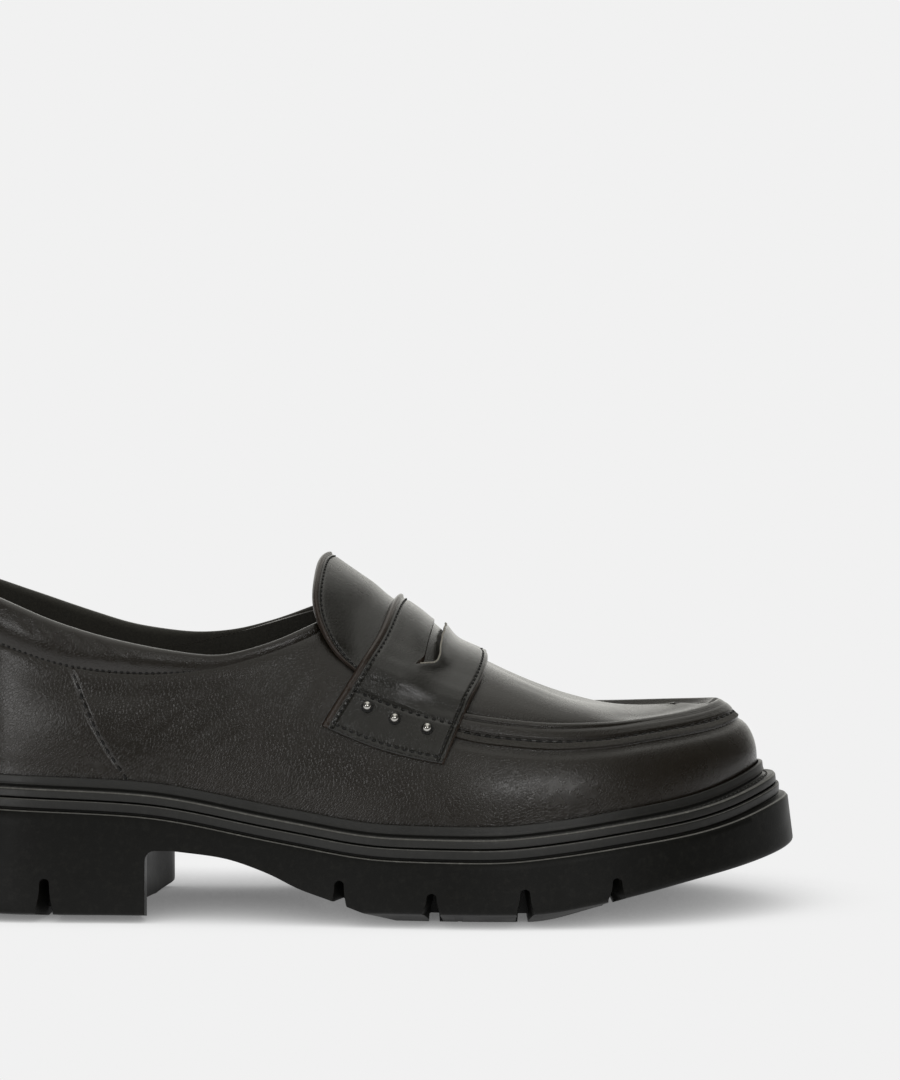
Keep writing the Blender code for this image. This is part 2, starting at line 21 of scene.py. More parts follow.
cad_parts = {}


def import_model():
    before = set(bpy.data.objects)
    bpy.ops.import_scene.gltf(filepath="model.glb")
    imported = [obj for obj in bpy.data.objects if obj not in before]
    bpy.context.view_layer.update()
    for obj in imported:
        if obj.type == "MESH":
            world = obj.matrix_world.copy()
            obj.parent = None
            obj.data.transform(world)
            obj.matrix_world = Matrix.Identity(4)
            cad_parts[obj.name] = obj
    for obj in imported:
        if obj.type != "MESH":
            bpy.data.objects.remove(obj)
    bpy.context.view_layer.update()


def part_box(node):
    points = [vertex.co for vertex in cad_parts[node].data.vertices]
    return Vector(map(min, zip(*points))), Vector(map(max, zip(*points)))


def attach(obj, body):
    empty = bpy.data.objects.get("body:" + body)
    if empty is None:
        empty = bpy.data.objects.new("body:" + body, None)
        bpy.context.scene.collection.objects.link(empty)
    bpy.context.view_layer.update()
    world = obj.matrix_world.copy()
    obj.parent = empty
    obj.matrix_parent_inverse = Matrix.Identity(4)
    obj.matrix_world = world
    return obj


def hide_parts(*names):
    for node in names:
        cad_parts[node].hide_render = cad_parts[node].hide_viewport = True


LOG = logging.getLogger("studded_loafer")

MM = 0.001
QUARTER = math.pi / 2
BODY = "root"

# Halvings of a search over the last, which leave far less than a micrometre
HALVINGS = 34
# Points on each rounded corner of a moulded outline
CORNER_POINTS = 5
# Where most values of a noise texture lie
NOISE_SPAN = {"From Min": 0.3, "From Max": 0.7}

Rows = tuple[tuple[float, ...], ...]
Span = tuple[float, float]
Place = tuple[float, float, float]
Array = np.ndarray


class Side(Enum):
    """The two sides of a right shoe, by the sign of Y."""

    LATERAL = -1
    MEDIAL = 1

    @property
    def word(self) -> str:
        """The side's name in lower case."""
        return self.name.lower()

    def place(self, way: Array) -> Array:
        """The place from 0 to 2 round or across the shoe of a way from 0 to 1 along this side."""
        return way if self is Side.LATERAL else 2 - way


def ramp(x: Array, start: float, end: float) -> Array:
    """A smooth blend from 0 before start to 1 after end, at each value of x."""
    u = np.clip((np.asarray(x, float) - start) / (end - start), 0.0, 1.0)
    return u * u * (3 - 2 * u)


def bell(x: Array, width: float) -> Array:
    """A smooth hump of height 1 about 0 that has faded by twice its width."""
    return np.exp(-((np.asarray(x, float) / width) ** 2))


class Curve:
    """A smooth line through the rows of a size table, which never overshoots them."""

    SAMPLES = 1800

    def __init__(self, xs: Sequence[float], ys: Sequence[float], soften: float = 0.0) -> None:
        """Samples the cubic through the rows and eases its corners.

        Args:
            xs: Rising places of the rows.
            ys: Values of the rows.
            soften: Half width over which corners are eased, in the units of xs.
        """
        places = np.asarray(xs, float)
        values = np.asarray(ys, float)
        steps = np.diff(places)
        slopes = np.diff(values) / steps
        tangents = np.concatenate((slopes[:1], np.zeros(len(slopes) - 1), slopes[-1:]))
        rising = slopes[:-1] * slopes[1:] > 0
        total = np.where(rising, slopes[:-1] + slopes[1:], 1.0)
        tangents[1:-1] = np.where(rising, 2 * slopes[:-1] * slopes[1:] / total, 0.0)
        self.grid = np.linspace(places[0], places[-1], self.SAMPLES)
        i = np.clip(np.searchsorted(places, self.grid, side="right") - 1, 0, len(steps) - 1)
        u = (self.grid - places[i]) / steps[i]
        start = (1 + 2 * u) * (1 - u) ** 2 * values[i] + u * (1 - u) ** 2 * steps[i] * tangents[i]
        end = u * u * (3 - 2 * u) * values[i + 1] + u * u * (u - 1) * steps[i] * tangents[i + 1]
        self.values = start + end
        if soften:
            self._ease(soften / (self.grid[1] - self.grid[0]))

    def _ease(self, sigma: float) -> None:
        """Blurs the samples, keeping both ends and their slopes."""
        reach = int(3 * sigma)
        kernel = bell(np.arange(-reach, reach + 1), sigma * math.sqrt(2))
        before = 2 * self.values[0] - self.values[reach:0:-1]
        after = 2 * self.values[-1] - self.values[-2 : -reach - 2 : -1]
        padded = np.concatenate((before, self.values, after))
        self.values = np.convolve(padded, kernel / kernel.sum(), mode="valid")

    def __call__(self, x: Array) -> Array:
        """The line's value at each place."""
        return np.interp(x, self.grid, self.values)


def column(rows: Rows, at: int, soften: float = 0.0, key: Callable[[float], float] = float) -> Curve:
    """The eased curve of one column of a table against its first, which a key may turn to another scale."""
    return Curve([key(row[0]) for row in rows], [row[at] for row in rows], soften)


@dataclass
class Last:
    """The form that the shoe is made on. Every piece of the upper is laid out on its surface.

    A place on it is a ring, 0 at the heel, 1 at the toe and 2 at the heel again by way of the medial side,
    and a lean, 0 on the feather line and a quarter turn on the ridge. A larger lean crosses the ridge.
    """

    # Steps in which lengths up the surface and round the feather line are measured
    CLIMB_STEPS = 300
    LEAN_STEPS = 900
    RING_STEPS = 4000

    back: float = -134.0
    toe: float = 130.5
    ridge_back: float = -96.0
    ridge_toe: float = 104.0
    turn_in: float = 3.0
    ease: float = 5.0
    turn_ease: float = 0.018
    # x, lateral half width, medial half width, feather height, fullness
    rows: Rows = (
        (-134, 0, 0, 46.5, 3), (-121, 23.5, 23, 45.6, 2.9), (-100, 31.5, 30.5, 44.6, 2.7),
        (-62, 33.5, 29.5, 42.8, 2.4), (-17, 38, 30.5, 35.1, 2.2), (15, 43, 36.5, 30.6, 2.1),
        (45, 46, 43.5, 30.3, 2.3), (64, 45, 46, 32, 2.6), (84, 41, 44, 34.9, 2.8),
        (105, 32, 36.5, 38.1, 2.6), (121, 18.5, 22.5, 42.4, 2.35), (130.5, 0, 0, 46.3, 2.3),
    )
    # x, ridge height
    ridge_rows: Rows = (
        (-96, 152), (-60, 139), (-30, 124.5), (-6.7, 109.4), (17.3, 93), (43, 77.6), (54, 71.8), (63, 67.6),
        (72, 64.8), (80, 64.3), (90, 65), (104, 66.2),
    )
    # x, share of a sole layer's outward offset
    margin_rows: Rows = ((-134, 0.68), (-60, 0.62), (0, 0.6), (60, 0.62), (100, 0.82), (130.5, 0.96))

    def __post_init__(self) -> None:
        """Turns the tables to curves."""
        self.lateral = column(self.rows, 1, self.turn_ease, self.turn_of)
        self.medial = column(self.rows, 2, self.turn_ease, self.turn_of)
        self.feather_z = column(self.rows, 3, self.ease)
        self.fullness = column(self.rows, 4, self.ease)
        self.ridge_z = column(self.ridge_rows, 1, self.ease)
        self.margin = column(self.margin_rows, 1, self.ease)
        self.shift = np.zeros(3)

    def turn_of(self, x: float) -> float:
        """The place along one side, 0 at the heel and 1 at the toe, of a feather line's x."""
        middle = (self.back + self.toe) / 2
        half = (self.toe - self.back) / 2
        return math.acos(min(max((middle - x) / half, -1.0), 1.0)) / math.pi

    @staticmethod
    def along(back: float, toe: float, turn: Array) -> Array:
        """The x of turns on a line of the last between these two ends."""
        return (back + toe) / 2 - (toe - back) / 2 * np.cos(math.pi * turn)

    def feather(self, ring: Array) -> Array:
        """Finds points of the feather line.

        Args:
            ring: Places round the shoe.

        Returns:
            Points, one for each place.
        """
        ring = np.mod(ring, 2.0)
        turn = np.where(ring <= 1, ring, 2 - ring)
        x = self.along(self.back, self.toe, turn)
        y = np.where(ring <= 1, -self.lateral(turn), self.medial(turn))
        return np.stack((x, y, self.feather_z(x)), axis=-1)

    def point(self, ring: Array, lean: Array) -> Array:
        """Finds points of the last's surface.

        Args:
            ring: Places round the shoe.
            lean: Leans at those places; a lean under 0 goes straight down.

        Returns:
            Points, one for each place.
        """
        ring, lean = np.broadcast_arrays(np.asarray(ring, float), np.asarray(lean, float))
        over = lean > QUARTER
        ring = np.mod(np.where(over, 2 - ring, ring), 2.0)
        lean = np.where(over, 2 * QUARTER - lean, lean)
        foot = self.feather(ring)
        turn = np.where(ring <= 1, ring, 2 - ring)
        top_x = self.along(self.ridge_back, self.ridge_toe, turn)
        power = 2 / self.fullness(foot[..., 0])
        angle = np.clip(lean, 0.0, QUARTER)
        out = np.maximum(np.cos(angle), 0.0) ** power
        rise = np.sin(angle) ** power
        x = top_x + (foot[..., 0] - top_x) * out
        z = foot[..., 2] + (self.ridge_z(top_x) - foot[..., 2]) * rise + np.minimum(lean, 0) * self.turn_in
        return np.stack((x, foot[..., 1] * out, z), axis=-1)

    def normal(self, ring: Array, lean: Array) -> Array:
        """Finds outward normals of the last's surface.

        Args:
            ring: Places round the shoe.
            lean: Leans at those places.

        Returns:
            Unit vectors, one for each place.
        """
        tiny = 2e-3
        ring = np.asarray(ring, float)
        lean = np.maximum(lean, tiny)
        along = self.point(ring + tiny, lean) - self.point(ring - tiny, lean)
        up = self.point(ring, lean + tiny) - self.point(ring, lean - tiny)
        return unit(np.cross(along, up))

    def lean_at(self, ring: Array, line: Callable[[Array], Array]) -> Array:
        """Finds where the surface climbs past a side view line.

        Args:
            ring: Places round the shoe.
            line: Height of the line at x.

        Returns:
            The lean at each place.
        """
        ring = np.asarray(ring, float)
        low = np.zeros_like(ring)
        high = np.full_like(ring, QUARTER)
        for _ in range(HALVINGS):
            middle = (low + high) / 2
            spot = self.point(ring, middle)
            below = spot[..., 2] < line(spot[..., 0])
            low = np.where(below, middle, low)
            high = np.where(below, high, middle)
        return low

    def place_of(self, x: Array, z: Array, side: Side) -> tuple[Array, Array]:
        """Finds the surface places that a side view shows at x and z.

        Args:
            x: Side view places along the shoe.
            z: Side view heights.
            side: The side that is looked at.

        Returns:
            The turn along that side and the lean of each place.
        """
        x = np.asarray(x, float)
        z = np.asarray(z, float)
        low = np.zeros_like(x)
        high = np.ones_like(x)
        for _ in range(HALVINGS):
            turn = (low + high) / 2
            ring = side.place(turn)
            lean = self.lean_at(ring, lambda _: z)
            behind = self.point(ring, lean)[..., 0] < x
            low = np.where(behind, turn, low)
            high = np.where(behind, high, turn)
        return turn, lean

    def climb(self, ring: Array, lean: Array) -> Array:
        """The way over the surface from the feather line up to a lean, at each place of a row."""
        path = self.point(ring[:, None], lean[:, None] * np.linspace(0.0, 1.0, self.CLIMB_STEPS))
        return np.linalg.norm(np.diff(path, axis=1), axis=-1).sum(axis=1)

    def leans_up(self, ring: Array, reach: Array) -> Array:
        """Finds the leans that lie given lengths up from the feather line.

        Args:
            ring: Places round the shoe, in a row.
            reach: For each place, a row of lengths over the surface.

        Returns:
            The leans, shaped as reach.
        """
        steps = np.linspace(0.0, 2 * QUARTER, self.LEAN_STEPS)
        arcs = arc_lengths(self.point(ring[:, None], steps[None, :]))
        return np.stack([np.interp(r, a, steps) for r, a in zip(reach, arcs)])

    def offset(self, ring: Array, out: float | Array, z: float | Callable[[Array], Array]) -> Array:
        """Finds points set out from the feather line in plan.

        Args:
            ring: Places round the shoe.
            out: Distance outward; under 0 it is inward and isn't scaled by the margin.
            z: Height over the feather line, or a function that gives the height at x.

        Returns:
            Points, one for each place.
        """
        tiny = 1e-3
        along = self.feather(ring + tiny) - self.feather(ring - tiny)
        outward = unit(np.stack((along[..., 1], -along[..., 0], np.zeros_like(along[..., 0])), axis=-1))
        foot = self.feather(ring)
        outside = np.asarray(out) > 0
        share = np.where(outside, self.margin(foot[..., 0]), 1.0)
        spot = foot + outward * (out * share)[..., None]
        base = np.where(outside, foot[..., 2], self.feather_z(spot[..., 0]))
        spot[..., 2] = z(spot[..., 0]) if callable(z) else base + z
        return spot

    def even_rings(self, count: int) -> Array:
        """Places round the shoe that are evenly spaced along the feather line, the toe among them.

        Args:
            count: Number of places, which is even.

        Returns:
            Rising ring values from 0 to under 2, the same turns on both sides.
        """
        turns = np.linspace(0.0, 1.0, self.RING_STEPS)
        arcs = arc_lengths(self.feather(turns))
        half = np.interp(np.linspace(0.0, arcs[-1], count // 2 + 1), arcs, turns)
        return np.concatenate((half, 2 - half[-2:0:-1]))


def unit(vectors: Array) -> Array:
    """The vectors scaled to length 1."""
    return vectors / np.maximum(np.linalg.norm(vectors, axis=-1, keepdims=True), 1e-12)


def arc_lengths(path: Array) -> Array:
    """For each point of a line, or of rows of lines, the way to it from the start of its line."""
    steps = np.diff(path, axis=-2, prepend=path[..., :1, :])
    return np.cumsum(np.linalg.norm(steps, axis=-1), axis=-1)


def linear(code: str) -> tuple[float, float, float, float]:
    """Turns an sRGB hex colour to linear light.

    Args:
        code: Six hex digits after a hash.

    Returns:
        Red, green, blue and an alpha of 1.
    """
    parts = [int(code[i : i + 2], 16) / 255 for i in (1, 3, 5)]
    red, green, blue = (c / 12.92 if c <= 0.04045 else ((c + 0.055) / 1.055) ** 2.4 for c in parts)
    return red, green, blue, 1.0


def per_metre(size: float) -> float:
    """The texture scale that draws features of a size in millimetres."""
    return 1 / (size * MM)


def tones(low: str, high: str) -> dict[int, tuple[float, ...]]:
    """Two sRGB tones for a Mix node, whose RGBA sockets come after its float and vector ones."""
    return {6: linear(low), 7: linear(high)}


def add_node(tree: NodeTree, kind: str, inputs: dict | None = None, **settings) -> Node:
    """Adds a node with its settings, values and links.

    Args:
        tree: The node tree to add to.
        kind: The node's type name, without the ShaderNode that starts it.
        inputs: Socket name or index to a value, or to an output socket to link from.
        settings: Properties of the node itself.

    Returns:
        The new node.
    """
    node = tree.nodes.new("ShaderNode" + kind)
    for name, value in settings.items():
        setattr(node, name, value)
    for key, value in (inputs or {}).items():
        if isinstance(value, NodeSocket):
            tree.links.new(value, node.inputs[key])
        else:
            node.inputs[key].default_value = value
    return node


def new_material(name: str) -> tuple[Material, NodeTree, NodeSocket]:
    """Starts a node material.

    Args:
        name: The material's name.

    Returns:
        The material, its empty node tree and a socket with the place on the object in metres.
    """
    made = bpy.data.materials.new(name)
    made.use_nodes = True
    made.node_tree.nodes.clear()
    place = add_node(made.node_tree, "TexCoord").outputs["Object"]
    return made, made.node_tree, place


def close_material(tree: NodeTree, inputs: dict, *reliefs: tuple[NodeSocket, float]) -> None:
    """Ends a material with a Principled shader.

    Args:
        tree: The material's node tree.
        inputs: The shader's inputs.
        reliefs: Output with the height, and depth in millimetres, of each relief from coarse to fine.
    """
    normal: dict = {}
    for height, depth in reliefs:
        relief = {"Strength": 1.0, "Distance": depth * MM, "Height": height} | normal
        normal = {"Normal": add_node(tree, "Bump", relief).outputs["Normal"]}
    shader = add_node(tree, "BsdfPrincipled", inputs | normal)
    add_node(tree, "OutputMaterial", {"Surface": shader.outputs["BSDF"]})


@dataclass(frozen=True)
class GrainLeather:
    """Coated leather, embossed with a pebble grain and drawn over the last.

    The eye sees a dark brown black with soft broken highlights: rounded pebbles, fine wrinkles that run one
    way where the skin was pulled, and a slow change of gloss and warmth over each panel.
    """

    name: str
    colour: str
    warm: str
    roughness: float = 0.27
    pebble: float = 0.75
    pebble_depth: float = 0.026
    pebble_stretch: float = 1.6
    # Share of a pebble's size over which its side is rounded
    pebble_round: float = 0.2
    # Length and reach of the sway that keeps the pebbles uneven, in pebbles
    sway: Span = (4.0, 0.6)
    wrinkle: float = 1.6
    wrinkle_stretch: float = 3.0
    wrinkle_depth: float = 0.06
    wrinkle_turn: float = 38.0
    cloud: float = 22.0
    coat: float = 0.12
    coat_roughness: float = 0.2
    # How far the gloss goes under and over the roughness
    gloss: Span = (0.05, 0.06)

    def material(self) -> Material:
        """Builds the material."""
        made, tree, place = new_material(self.name)
        length, reach = np.array(self.sway) * self.pebble
        stir = add_node(tree, "TexNoise", {"Vector": place, "Scale": per_metre(length), "Detail": 2.0})
        sway = {0: stir.outputs["Color"], 1: (reach * MM,) * 3, 2: place}
        bent = add_node(tree, "VectorMath", sway, operation="MULTIPLY_ADD").outputs["Vector"]
        turn = (0.0, math.radians(self.wrinkle_turn), 0.0)
        turned = add_node(tree, "Mapping", {"Vector": bent, "Rotation": turn}).outputs["Vector"]
        pulled, drawn = (
            add_node(tree, "VectorMath", {0: turned, 1: (1 / stretch, 1.0, 1.0)}, operation="MULTIPLY")
            for stretch in (self.pebble_stretch, self.wrinkle_stretch)
        )
        grain = {"Vector": pulled.outputs["Vector"], "Scale": per_metre(self.pebble)}
        cells = add_node(tree, "TexVoronoi", grain, feature="DISTANCE_TO_EDGE")
        sides = {"Value": cells.outputs["Distance"], "From Max": self.pebble_round}
        pebbles = add_node(tree, "MapRange", sides, interpolation_type="SMOOTHSTEP")
        folds = {"Vector": drawn.outputs["Vector"], "Scale": per_metre(self.wrinkle)}
        wrinkles = add_node(tree, "TexNoise", folds | {"Detail": 3.0, "Roughness": 0.55})
        drift = {"Vector": place, "Scale": per_metre(self.cloud), "Detail": 4.0, "Roughness": 0.6}
        cloud = add_node(tree, "TexNoise", drift).outputs["Fac"]
        skin = add_node(tree, "Mix", {"Factor": cloud} | tones(self.colour, self.warm), data_type="RGBA")
        under, over = self.gloss
        shine = {"To Min": self.roughness - under, "To Max": self.roughness + over}
        gloss = add_node(tree, "MapRange", {"Value": cloud} | NOISE_SPAN | shine)
        looks = {"Base Color": skin.outputs[2], "Roughness": gloss.outputs["Result"], "IOR": 1.5}
        looks |= {"Coat Weight": self.coat, "Coat Roughness": self.coat_roughness}
        creased, grained = wrinkles.outputs["Fac"], pebbles.outputs["Result"]
        close_material(tree, looks, (creased, self.wrinkle_depth), (grained, self.pebble_depth))
        return made


@dataclass(frozen=True)
class MouldedRubber:
    """Rubber pressed in an etched steel mould, then handled.

    The eye sees a near black with little gloss, an even fine tooth, and faint pale dust and flow marks.
    """

    name: str
    colour: str
    dust: str
    roughness: float
    shine: float = 0.5
    # Real mould etching is about 0.1 mm, too fine for the picture, so it is drawn coarser
    tooth: float = 0.55
    tooth_depth: float = 0.03
    flow: float = 14.0
    flow_depth: float = 0.12
    speck: float = 2.2
    # Where in its noise the dust starts and is thickest, and its share of the colour there
    dust_span: Span = (0.5, 0.85)
    dust_most: float = 0.5
    gloss: float = 0.06

    def material(self) -> Material:
        """Builds the material."""
        made, tree, place = new_material(self.name)
        noises = []
        for size, detail, rough in ((self.tooth, 2.0, 0.5), (self.flow, 3.0, 0.5), (self.speck, 6.0, 0.75)):
            look = {"Vector": place, "Scale": per_metre(size), "Detail": detail, "Roughness": rough}
            noises.append(add_node(tree, "TexNoise", look).outputs["Fac"])
        tooth, flow, specks = noises
        start, full = self.dust_span
        cover = {"Value": specks, "From Min": start, "From Max": full, "To Max": self.dust_most}
        lightened = {"Factor": add_node(tree, "MapRange", cover).outputs["Result"]}
        tone = add_node(tree, "Mix", lightened | tones(self.colour, self.dust), data_type="RGBA")
        shine = {"To Min": self.roughness - self.gloss, "To Max": self.roughness + self.gloss}
        gloss = add_node(tree, "MapRange", {"Value": flow} | NOISE_SPAN | shine)
        looks = {"Base Color": tone.outputs[2], "Roughness": gloss.outputs["Result"]}
        looks |= {"IOR": 1.52, "Specular IOR Level": self.shine}
        close_material(tree, looks, (flow, self.flow_depth), (tooth, self.tooth_depth))
        return made


@dataclass(frozen=True)
class FibreCloth:
    """Fibres pressed or twisted together: felt, a raw cut edge or sewing thread.

    The eye sees no gloss, a fuzzy broken tone and a soft pale rim where loose fibres catch the light.
    """

    name: str
    colour: str
    loose: str
    # Real fibres are about 0.03 mm, too fine for the picture, so the tufts they make are drawn
    tuft: float = 0.7
    depth: float = 0.18
    roughness: float = 0.9
    sheen: float = 0.25
    # Where in their noise the loose fibres start and are thickest
    loose_span: Span = (0.35, 0.75)

    def material(self) -> Material:
        """Builds the material."""
        made, tree, place = new_material(self.name)
        clumps = {"Vector": place, "Scale": per_metre(self.tuft), "Distortion": 0.8}
        tufts = add_node(tree, "TexNoise", clumps | {"Detail": 4.0, "Roughness": 0.7}).outputs["Fac"]
        start, full = self.loose_span
        patch = add_node(tree, "MapRange", {"Value": tufts, "From Min": start, "From Max": full})
        blend = {"Factor": patch.outputs["Result"]} | tones(self.colour, self.loose)
        tone = add_node(tree, "Mix", blend, data_type="RGBA")
        looks = {"Base Color": tone.outputs[2], "Roughness": self.roughness}
        looks |= {"Sheen Weight": self.sheen, "Sheen Roughness": 0.5}
        close_material(tree, looks, (tufts, self.depth))
        return made


@dataclass(frozen=True)
class PolishedSteel:
    """Turned steel, barrel polished and nickel plated.

    The eye sees sharp small reflections of the studio, faintly broken by tumbling marks.
    """

    name: str
    colour: str
    roughness: float = 0.08
    # Tumbling marks are under 0.05 mm, too fine for the picture, so they are drawn coarser
    mark: float = 0.3
    mark_depth: float = 0.004
    gloss: float = 0.05

    def material(self) -> Material:
        """Builds the material."""
        made, tree, place = new_material(self.name)
        tumbled = {"Vector": place, "Scale": per_metre(self.mark), "Detail": 3.0}
        marks = add_node(tree, "TexNoise", tumbled).outputs["Fac"]
        shine = {"To Min": self.roughness - self.gloss, "To Max": self.roughness + self.gloss}
        gloss = add_node(tree, "MapRange", {"Value": marks} | shine)
        looks = {"Base Color": linear(self.colour), "Metallic": 1.0, "Roughness": gloss.outputs["Result"]}
        close_material(tree, looks, (marks, self.mark_depth))
        return made


class Palette:
    """The materials of the shoe, each built once."""

    def __init__(self) -> None:
        """Builds every finish."""
        self.leather = GrainLeather("embossed_coated_leather", "#18140e", "#211b13").material()
        self.strap = GrainLeather(
            "embossed_strap_leather", "#171612", "#1e1c16", roughness=0.25, wrinkle_turn=-45.0
        ).material()
        self.edge = GrainLeather(
            "turned_leather_edge", "#2a221c", "#3a2e25", roughness=0.34, pebble=0.6, wrinkle_depth=0.05
        ).material()
        self.raw = FibreCloth("raw_cut_leather_edge", "#8f8b82", "#b3aea3", tuft=0.5, sheen=0.1).material()
        # A paler grey leather for the moccasin seam's lip band
        self.lip = FibreCloth("paler_lip_leather", "#312f2b", "#4d4a45", tuft=0.5, sheen=0.1).material()
        self.felt = FibreCloth("pressed_lining_felt", "#2a2823", "#3c3a33").material()
        self.thread = FibreCloth(
            "waxed_sewing_thread", "#080808", "#121110", tuft=0.35, roughness=0.6, sheen=0.05
        ).material()
        self.rubber = MouldedRubber("moulded_sole_rubber", "#0e0e0c", "#2b2a26", 0.42, shine=0.15).material()
        self.welt = MouldedRubber("moulded_welt_rubber", "#232321", "#3b3a37", 0.4, shine=0.4).material()
        # Pale rubber laid on the rounded upper edges of the welt and outsole: a painted highlight along each
        # edge
        self.painted_highlight = MouldedRubber("painted_highlight_rubber_edge", "#565551", "#b0afa8", 0.4, shine=0.5).material()
        self.steel = PolishedSteel("polished_plated_steel", "#bdbbb6").material()


def sweep_faces(columns: int, rows: int, wrap: bool) -> Array:
    """Lists the faces of a closed cross-section swept along columns.

    Args:
        columns: Number of cross-sections.
        rows: Points round each cross-section.
        wrap: Whether the last cross-section joins the first.

    Returns:
        Four point numbers for each face, the faces of one column after those of another.
    """
    here = np.arange(columns if wrap else columns - 1)[:, None] * rows
    after = (here + rows) % (columns * rows)
    row = np.arange(rows)[None, :]
    following = (row + 1) % rows
    corners = (here + row, after + row, after + following, here + following)
    return np.stack(corners, axis=-1).reshape(-1, 4)


def cap_faces(rows: int, start: int) -> Array:
    """The faces that close one cross-section, from its outer points across to its inner ones."""
    near = np.arange(rows // 2 - 1)
    far = rows - 1 - near
    return np.stack((near, near + 1, far - 1, far), axis=-1) + start


def strip_faces(
    columns: int, rows: int, kinds: Array | int = 0, cap_kind: int = 0, capped: Sequence[int] = (0, -1)
) -> tuple[Array, Array]:
    """Lists the faces of a closed cross-section that is swept along columns and capped.

    Args:
        columns: Number of cross-sections.
        rows: Points round each cross-section.
        kinds: The material number of each row of faces.
        cap_kind: The material number of the caps.
        capped: The columns that are closed.

    Returns:
        Four point numbers and the material number of each face.
    """
    body = sweep_faces(columns, rows, wrap=False)
    faces = np.concatenate((body, *(cap_faces(rows, at % columns * rows) for at in capped)))
    marks = np.full(len(faces), cap_kind)
    marks[: len(body)] = np.tile(np.broadcast_to(kinds, rows), columns - 1)
    return faces, marks


def sole_faces(columns: int, rows: int) -> Array:
    """Lists the faces of one layer of the sole.

    Args:
        columns: Number of cross-sections round the shoe.
        rows: Points down each cross-section.

    Returns:
        Four point numbers for each face: the side column by column, then the top, then the underside.
    """
    body = sweep_faces(columns, rows, wrap=True)
    # The sweep's last row of faces would join the underside to the top, which are closed across instead
    side = body[np.arange(len(body)) % rows != rows - 1]
    i = np.arange(columns // 2)
    top = np.stack((i, i + 1, columns - i - 1, (columns - i) % columns), axis=-1) * rows
    return np.concatenate((side, top, top + rows - 1))


@dataclass
class SubAssembly:
    """What every part of the shoe is laid out on and dressed with."""

    last: Last
    palette: Palette

    def add(
        self,
        name: str,
        points: Array,
        faces: Array,
        finishes: Sequence[Material],
        slot: str,
        replaces: Sequence[str] = (),
        marks: Array | None = None,
        sharp: float = 40.0,
    ) -> Object:
        """Makes one piece of the shoe and ties it to the frame.

        Args:
            name: The piece's name.
            points: Points in millimetres.
            faces: Point numbers of each face.
            finishes: Materials in the order of their marks.
            slot: The record's material slot, which is not used.
            replaces: Solids of the frame that the piece stands for.
            marks: The material number of each face.
            sharp: Angle in degrees over which an edge stays sharp.

        Returns:
            The new object.
        """
        data = bpy.data.meshes.new(name)
        placed = (np.asarray(points).reshape(-1, 3) + self.last.shift) * MM
        # A face that comes to a point loses the corner that it has twice
        corners = [tuple(dict.fromkeys(face)) for face in np.asarray(faces).tolist()]
        data.from_pydata(placed.tolist(), [], corners)
        for finish in finishes:
            data.materials.append(finish)
        if marks is not None:
            data.polygons.foreach_set("material_index", np.asarray(marks, np.int32))
        mesh = bmesh.new()
        mesh.from_mesh(data)
        bmesh.ops.remove_doubles(mesh, verts=mesh.verts, dist=1e-7)
        bmesh.ops.recalc_face_normals(mesh, faces=mesh.faces)
        mesh.to_mesh(data)
        mesh.free()
        data.shade_smooth()
        data.set_sharp_from_angle(angle=math.radians(sharp))
        made = bpy.data.objects.new(name, data)
        bpy.context.scene.collection.objects.link(made)
        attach(made, BODY)
        if replaces:
            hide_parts(*replaces)
        LOG.info("%s: %d faces", name, len(data.polygons))
        return made

    def cutter(self, name: str, blocks: Sequence[Array], finish: Material) -> Object:
        """Makes one cutter of several closed blocks.

        Args:
            name: The cutter's name.
            blocks: For each block, its cross-sections' points.
            finish: The material of the faces that it cuts.

        Returns:
            The cutter.
        """
        points = []
        faces = []
        for block in blocks:
            start = len(points)
            columns, rows = block.shape[:2]
            points += ((block.reshape(-1, 3) + self.last.shift) * MM).tolist()
            faces += (sweep_faces(columns, rows, wrap=False) + start).tolist()
            faces += [[start + end + k for k in range(rows)] for end in (0, (columns - 1) * rows)]
        data = bpy.data.meshes.new(name)
        data.from_pydata(points, [], faces)
        mesh = bmesh.new()
        mesh.from_mesh(data)
        bmesh.ops.recalc_face_normals(mesh, faces=mesh.faces)
        mesh.to_mesh(data)
        mesh.free()
        data.materials.append(finish)
        made = bpy.data.objects.new(name, data)
        bpy.context.scene.collection.objects.link(made)
        return made


@dataclass(frozen=True)
class Crease:
    """A soft trough in the leather between two side view points, with a low ridge on each side."""

    start: Span
    end: Span
    depth: float
    width: float

    def height(self, x: Array, z: Array) -> Array:
        """Measures the crease's relief.

        Args:
            x: Side view places along the shoe.
            z: Side view heights.

        Returns:
            Heights over the plain surface, under 0 in the trough.
        """
        line = np.subtract(self.end, self.start)
        length = float(np.hypot(*line))
        along = ((x - self.start[0]) * line[0] + (z - self.start[1]) * line[1]) / length**2
        across = ((z - self.start[1]) * line[0] - (x - self.start[0]) * line[1]) / length
        fade = ramp(along, -0.1, 0.3) * (1 - ramp(along, 0.7, 1.1))
        ridges = bell(np.abs(across) - 2.2 * self.width, self.width)
        return fade * self.depth * (0.4 * ridges - bell(across, self.width))


@dataclass(frozen=True)
class Waves:
    """Gentle unevenness of hand-lasted leather: its height, the length of one wave and what shifts it."""

    height: float
    length: float
    seed: float

    def at(self, points: Array) -> Array:
        """The unevenness at each point in millimetres."""
        flat = points.reshape(-1, 3) / self.length + self.seed
        return self.height * np.array([noise.noise(Vector(spot)) for spot in flat]).reshape(points.shape[:-1])


@dataclass(frozen=True)
class Stitch:
    """Sizes of a row of stitches: pitch, length, thickness, dip of the ends and stand of the middle."""

    pitch: float
    length: float
    width: float
    dip: float = 0.35
    stand: float = 0.0


